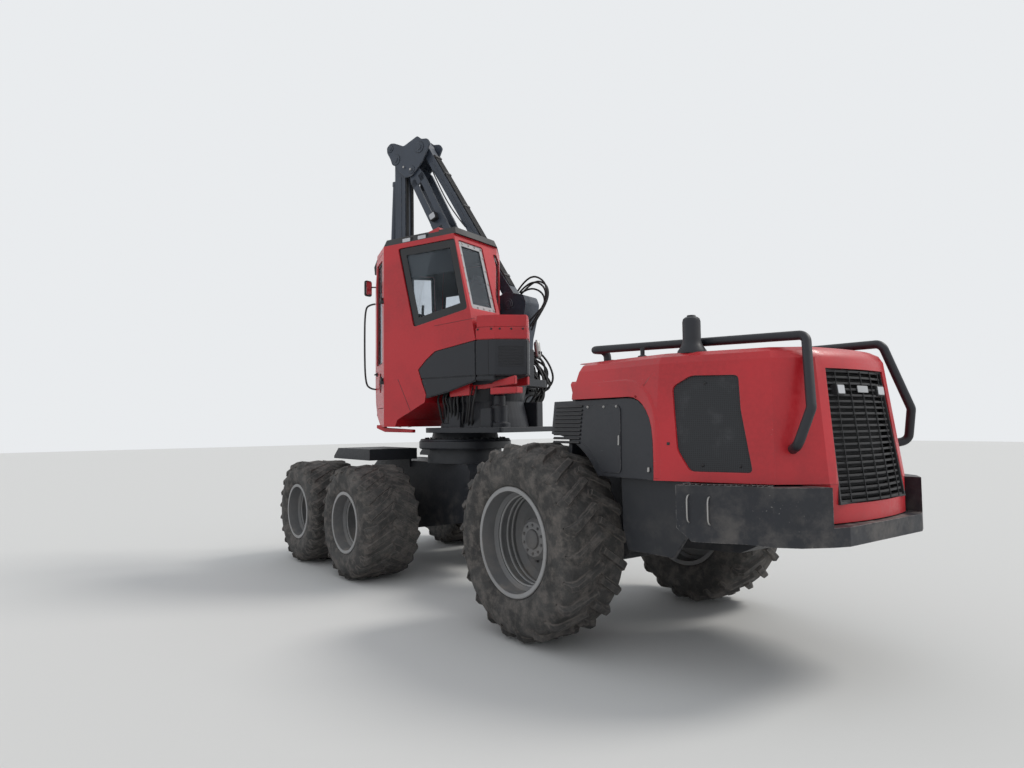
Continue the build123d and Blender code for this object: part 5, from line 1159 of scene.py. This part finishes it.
link = Form()
span = math.dist(LINK_FOOT, LINK_HEAD)
for side in (1, -1):
    low, high = side * 88, side * 120
    for up in (-80, 80):
        bar = on_link((120, up - 50), (span - 130, up - 50), (span - 130, up + 50), (120, up + 50))
        link.crane(bar, low, high)
    for at in (span * 0.33, span * 0.66):
        tie = on_link((at - 60, -134), (at + 60, -134), (at + 60, 134), (at - 60, 134))
        link.crane(tie, low - side, high + side)
    eye = on_link((-90, -70), (0, -100), (240, -131), (240, 131), (0, 100), (-90, 70))
    link.crane(rounded(eye, 60), low, high)
    eye = on_link(
        (span - 250, -131), (span - 120, -125), (span + 70, -60), (span + 70, 60), (span - 120, 125),
        (span - 250, 131),
    )
    link.crane(rounded(eye, 40), low, high)
    for centre in (LINK_FOOT, LINK_HEAD):
        link.disc(centre, 52, high, high + side * 6)
link.disc(on_link((span * 0.66, 0))[0], 34, -100, 100)
link.piece("link_bars", CRANE, "parallel_link", 0.004, replaces=("parallel_link",))

lever = Form()
plate = [
    (1100, 5880), (1150, 5950), (1270, 5970), (1340, 6030), (1610, 5935), (1790, 6020), (1870, 6036),
    (1945, 5985), (1940, 5905), (1870, 5790), (1838, 5700), (1765, 5660), (1690, 5560), (1570, 5450),
    (1450, 5455), (1370, 5520), (1240, 5640), (1160, 5760),
]
for side in (1, -1):
    lever.crane(rounded(plate, 26), side * 129, side * 155)
    for centre, r in ((KNEE, 84), (STICK_PIN, 84), (LINK_HEAD, 60), (JIB_HEAD, 58)):
        lever.disc(centre, r, side * 155, side * 163)
        lever.disc(centre, r * 0.5, side * 163, side * 172)
for centre, r in ((KNEE, 45), (STICK_PIN, 45), (LINK_HEAD, 38), (JIB_HEAD, 38)):
    lever.disc(centre, r, -150, 150)
lever.crane([(1500, 5925), (1620, 5885), (1630, 5915), (1510, 5955)], -130, 130)
lever.piece("knee_plates", CRANE, "knee_lever", 0.004, replaces=("knee_lever",))

stick = Form()
inner, outer = 1630, 1832
outline = [
    (inner, 3420), (inner, 5500), (1672, 5690), (1688, 5820), (1740, 5842), (1800, 5832), (1836, 5760),
    (outer, 5600), (outer, 3420),
]
stick.crane(outline, -92, 92)
stick.disc(STICK_PIN, 74, -119, 119)
stick.crane([(inner - 8, 3420), (inner - 8, 3500), (outer + 8, 3500), (outer + 8, 3420)], -100, 100)
for side in (1, -1):
    stick.crane([(outer - 4, 4110), (2010, 4260), (2010, 4340), (outer - 4, 4490)], side * 56, side * 79)
    stick.disc((1950, 4300), 52, side * 79, side * 88)
    stick.crane([(1700, 3520), (1760, 3520), (1760, 5500), (1700, 5500)], side * 92, side * 96)
stick.disc((1950, 4300), 38, -86, 86)
stick.piece("stick_box", CRANE, "outer_boom", 0.005, replaces=("outer_boom",))
tip = Form()
tip.crane([(1646, 3310), (1646, 4800), (1816, 4800), (1816, 3310)], -78, 78)
for side in (1, -1):
    tip.crane(box_outline(1730, 3275, 160, 250, 50), side * 52, side * 78)
    tip.disc((1730, 3230), 60, side * 78, side * 92)
tip.disc((1730, 3230), 38, -98, 98)
tip.piece("telescope_tip", CRANE, "telescope", 0.004, replaces=("telescope",))

pillar_side = [
    (-480, 1761), (-400, 2650), (-420, 2920), (-500, 3240), (-520, 3380), (-480, 3480), (-200, 3545),
    (-110, 3500), (-60, 3350), (190, 3080), (190, 2920), (20, 2800), (150, 2520), (120, 2370), (-60, 2330),
    (-60, 1761),
]
pillar = Form().crane(rounded(pillar_side, 24), -170, 170).solid()
slot = [(-405, 3130), (-405, 3700), (400, 3700), (400, 2300), (-115, 2300), (-115, 2900)]
carve(pillar, Form().crane(slot, -128, 128).solid())
finish(pillar, "pillar_casting", CRANE, "superstructure", replaces=("crane_pillar",))
pins = Form()
for centre, r in ((FOOT, 45), (LINK_FOOT, 38), ((20, 2450), 38)):
    pins.disc(centre, r, -182, 182)
    for side in (1, -1):
        pins.disc(centre, r + 26, side * 170, side * 178)
pins.piece("pillar_pins", CRANE, "superstructure", 0.003)
# Small bright steel discs on the knee's left side stand for glints: painted highlights
glint_discs = Form()
for centre in ((1460, 5550), (1592, 5610.5)):
    glint_discs.disc(centre, 16, 172, 180)
glint_discs.piece("knee_painted_glints", STEEL, "knee_lever", 0.002)

# Work lamp on the link, pipes along the boom and the stick, hose loops at the boom's foot and the knee
lamp = Form()
lamp.crane(rounded([(955, 4740), (1060, 4700), (1105, 4800), (1000, 4845)], 16), 122, 196)
lamp.piece("boom_lamp", TRIM, "parallel_link", 0.004)
face = Form()
face.crane(rounded([(968, 4752), (1056, 4718), (1090, 4794), (1002, 4830)], 14), 196, 200)
face.piece("boom_lamp_lens", LENS, "parallel_link", 0.001)

route = boom((260, 104), (600, 106), (1500, 105), (2500, 106), (2700, 100))
lines = [beside(v, route) for v in (-52, -18, 18, 52)]
pipes("boom_pipes", HOSE, "main_boom", lines, 0.011)
clamps = Form()
for a in (420, 1050, 1680, 2310, 2640):
    clamps.crane(boom((a, 90), (a, 122), (a + 40, 122), (a + 40, 90)), -72, 72)
clamps.piece("pipe_clamps", TRIM, "main_boom", 0.003)
under = beside(96, boom((1400, -20), (1700, -64), (2100, -70), (2500, -30)))
pipes("boom_under_pipe", TRIM, "main_boom", [under], 0.009)
route = ((1622, 5480), (1618, 5200), (1618, 4400), (1618, 3700), (1624, 3520))
lines = [beside(v, route) for v in (-70, -40, 40, 70)]
pipes("stick_pipes", HOSE, "outer_boom", lines, 0.010)
loops = [
    [
        (-330, 60, 3560), (-420, 70, 3660), (-597, 90, 3735), (-760, 90, 3640), (-800, 80, 3480),
        (-740, 60, 3330), (-560, 40, 3200), (-470, 30, 3130),
    ],
    [
        (-330, 20, 3545), (-450, 30, 3640), (-610, 30, 3660), (-740, 30, 3560), (-735, 20, 3400),
        (-620, 10, 3240), (-480, 0, 3080),
    ],
    [
        (-320, -20, 3540), (-440, -30, 3600), (-600, -30, 3560), (-690, -30, 3460), (-680, -30, 3330),
        (-560, -30, 3180), (-480, -30, 3030),
    ],
    [
        (-300, -60, 3535), (-420, -70, 3640), (-560, -80, 3700), (-700, -80, 3620), (-730, -70, 3470),
        (-640, -60, 3290), (-480, -60, 3090),
    ],
]
lines = [[at_slew(u, CRANE_V + v, z) for u, v, z in loop] for loop in loops]
pipes("foot_hoses", HOSE, "superstructure", lines, 0.0125)
tangle = []
for k in range(16):
    a, b, c = math.sin(k * 2.4), math.cos(k * 1.7), math.sin(k * 3.9 + 1)
    v = CRANE_V - 120 + 17 * k
    tangle.append(
        slew_line(
            (-410 - 10 * a, v, 2700 - 14 * k),
            (-520 - 50 * a, v + 12 * b, 2740 - 10 * k + 50 * c),
            (-640 - 90 * b, v + 40 * c, 2560 - 16 * k),
            (-700 - 80 * c, v + 60 * a, 2330 - 12 * k),
            (-640 - 60 * a, v + 90 + 50 * b, 2160 + 30 * c),
            (-600 + 40 * b, v + 170, 1990 + 40 * a),
            (-520, v + 260, 1880 + 6 * k),
        )
    )
pipes("pillar_hoses", HOSE, "superstructure", tangle[:8], 0.014)
pipes("pillar_hoses_thin", HOSE, "superstructure", tangle[8:], 0.010)
knee_hoses = []
for k, v in enumerate((-52, -18, 18, 52)):
    arc = ((1352, 6004), (1400, 6040 + 3 * k), (1500, 6030 + 3 * k), (1590, 5960), (1600, 5890))
    knee_hoses.append(beside(v, arc))
pipes("knee_hoses", HOSE, "knee_lever", knee_hoses, 0.011)
block = Form()
block.slab(box_outline(-435, -800, 70, 240, 10), 2640, 120)
block.slab(box_outline(-480, -800, 80, 260, 10), 2180, 300)
for k in range(6):
    for z in (2230, 2320, 2410):
        block.rod(at_slew(-520, -900 + 40 * k, z), at_slew(-556, -900 + 40 * k, z), 0.015, 12)
block.piece("valve_block", HEAD, "superstructure", 0.004)
profile = [
    (0, 0.001), (0, 0.03), (0.012, 0.041), (0.19, 0.041), (0.215, 0.03), (0.222, 0.012), (0.24, 0.012),
    (0.24, 0.001),
]
flask = Form().spin(at_slew(-600, -800, 2655), at_slew(12, 0, 100) - at_slew(0, 0, 0), profile, 32)
flask.piece("pressure_flask", STEEL, "superstructure", smooth=True)
bracket = Form()
for low in (-30, 22):
    bracket.crane([(-640, 2700), (-400, 2690), (-400, 2730), (-640, 2740)], low, low + 8)
bracket.piece("flask_bracket", TRIM, "superstructure", 0.002)

# Turntable: toothed ring, base plate, round column, slew motors and the red beams under the box
table = Form()
middle = Vector((SLEW_X, 0, 0))
profile = [
    (0, 0.001), (0, 0.19), (0.111, 0.19), (0.111, 0.56), (0.126, 0.572), (0.2, 0.572), (0.212, 0.56),
    (0.231, 0.552), (0.231, 0.42), (0.315, 0.40), (0.315, 0.001),
]
table.spin(middle + UP * 1.39, UP, profile, 96)
base_plate = [(-950, -960), (-60, -960), (250, -560), (250, 480), (60, 600), (-950, 600)]
table.slab(rounded(base_plate, 60), 1700, 60)
profile = [(0, 0.001), (0, 0.47), (0.1, 0.45), (0.3, 0.40), (0.42, 0.43), (0.575, 0.46), (0.575, 0.001)]
table.spin(at_slew(-420, 40, 1760), UP, profile, 48)
table.slab(box_outline(-460, 0, 840, 1120, 60), 2250, 87)
for u, v in ((-120, 420), (60, -330), (-780, 380)):
    profile = [
        (0, 0.001), (0, 0.13), (0.05, 0.13), (0.06, 0.1), (0.25, 0.1), (0.26, 0.075), (0.36, 0.075),
        (0.38, 0.05), (0.38, 0.001),
    ]
    table.spin(at_slew(u, v, 1758), UP, profile, 32)
for u, v, w, h in ((-820, -300, 200, 300), (-700, 470, 150, 220), (-250, 470, 170, 180)):
    table.slab(box_outline(u, v, w, 140, 14), 1758, h)
for k in range(36):
    turn = 2 * math.pi * k / 36
    table.nut(middle + Vector((0.49 * math.cos(turn), 0.49 * math.sin(turn), 1.621)), UP, 0.014, 0.012)
table.piece("turntable_assembly", BLACK, "superstructure", 0.004, replaces=("turntable",))
beams = Form()
for v in (560, 300):
    beam = ((-1120, 2240), (-700, 2200), (-20, 2200), (-20, 2249), (-700, 2249), (-1120, 2334))
    beams.side(beam, v, v - 50)
for outline in (
    [(-540, 2130), (-250, 2120), (-250, 2260), (-540, 2270)],
    [(-1190, 2135), (-830, 2130), (-830, 2205), (-1190, 2205)],
):
    beams.side(outline, 625, 505)
beam = ((980, 1800), (980, 1760), (840, 1712), (380, 1702), (380, 1740), (840, 1765), (900, 1800))
beams.side(beam, 560, 500)
beams.piece("red_beams", RED, "superstructure", 0.005)
low_lines = []
for k in range(10):
    a, b = math.sin(k * 2.1), math.cos(k * 1.3)
    low_lines.append(
        slew_line(
            (-600 + 60 * k, 560 - 6 * k, 2230),
            (-590 + 62 * k, 590 + 25 * a, 2120),
            (-560 + 55 * k, 560 + 30 * b, 1990),
            (-500 + 50 * k, 520 + 20 * a, 1850),
            (-470 + 45 * k, 480, 1762),
        )
    )
pipes("column_hoses", HOSE, "superstructure", low_lines, 0.013)


# Floor, light and camera

floor_mesh = bpy.data.meshes.new("floor")
floor_mesh.from_pydata([(-60, -60, 0), (60, -60, 0), (60, 60, 0), (-60, 60, 0)], [], [(0, 1, 2, 3)])
floor = bpy.data.objects.new("floor", floor_mesh)
bpy.context.scene.collection.objects.link(floor)
floor_graph = Graph("pale floor")
floor.data.materials.append(floor_graph.surface((0.62, 0.62, 0.61), 0.9))
floor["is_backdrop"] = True

world = bpy.data.worlds.new("studio")
bpy.context.scene.world = world
world.use_nodes = True
tree = world.node_tree
tree.nodes.clear()
world_out = tree.nodes.new("ShaderNodeOutputWorld")
path = tree.nodes.new("ShaderNodeLightPath")
direct = path.outputs["Is Camera Ray"]
for kind in ("Is Glossy Ray", "Is Transmission Ray"):
    either = tree.nodes.new("ShaderNodeMath")
    either.operation = "MAXIMUM"
    tree.links.new(direct, either.inputs[0])
    tree.links.new(path.outputs[kind], either.inputs[1])
    direct = either.outputs[0]
chooser = tree.nodes.new("ShaderNodeMixShader")
tree.links.new(direct, chooser.inputs[0])
# What lights the scene, then what is seen behind it and in its reflections
for slot, colour, strength in ((1, (0.93, 0.96, 1.0, 1), 0.75), (2, (0.86, 0.88, 0.90, 1), 0.95)):
    sky = tree.nodes.new("ShaderNodeBackground")
    sky.inputs["Color"].default_value = colour
    sky.inputs["Strength"].default_value = strength
    tree.links.new(sky.outputs[0], chooser.inputs[slot])
tree.links.new(chooser.outputs[0], world_out.inputs["Surface"])

sun_data = bpy.data.lights.new("soft sun", "SUN")
sun_data.energy = 1.5
sun_data.angle = math.radians(18)
sun_data.color = (1.0, 0.97, 0.92)
sun = bpy.data.objects.new("soft sun", sun_data)
sun.rotation_euler = (math.radians(38), math.radians(-22), 0)
bpy.context.scene.collection.objects.link(sun)

bpy.context.scene.view_settings.view_transform = "Standard"

# Camera fitted to the photograph: place, yaw, pitch and roll found from the wheels
EYE = (-4.7615 + REAR_X, 4.9496, 1.7959)
YAW, PITCH, ROLL = -0.6486, 0.0559, -0.0105
FOCAL_PIXELS, PICTURE_PIXELS, SENSOR = 714.26, 1024, 36
look = Vector((math.cos(PITCH) * math.cos(YAW), math.cos(PITCH) * math.sin(YAW), math.sin(PITCH)))
right = Vector((math.sin(YAW), -math.cos(YAW), 0))
above = right.cross(look)
right_rolled = math.cos(ROLL) * right + math.sin(ROLL) * above
above_rolled = -math.sin(ROLL) * right + math.cos(ROLL) * above
camera_data = bpy.data.cameras.new("camera")
camera_data.sensor_width = SENSOR
camera_data.sensor_fit = "HORIZONTAL"
camera_data.lens = FOCAL_PIXELS * SENSOR / PICTURE_PIXELS
camera_data.clip_end = 200
camera = bpy.data.objects.new("camera", camera_data)
turn = Matrix((right_rolled, above_rolled, -look)).transposed()
camera.matrix_world = Matrix.Translation(EYE) @ turn.to_4x4()
bpy.context.scene.collection.objects.link(camera)
bpy.context.scene.camera = camera

low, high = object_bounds()
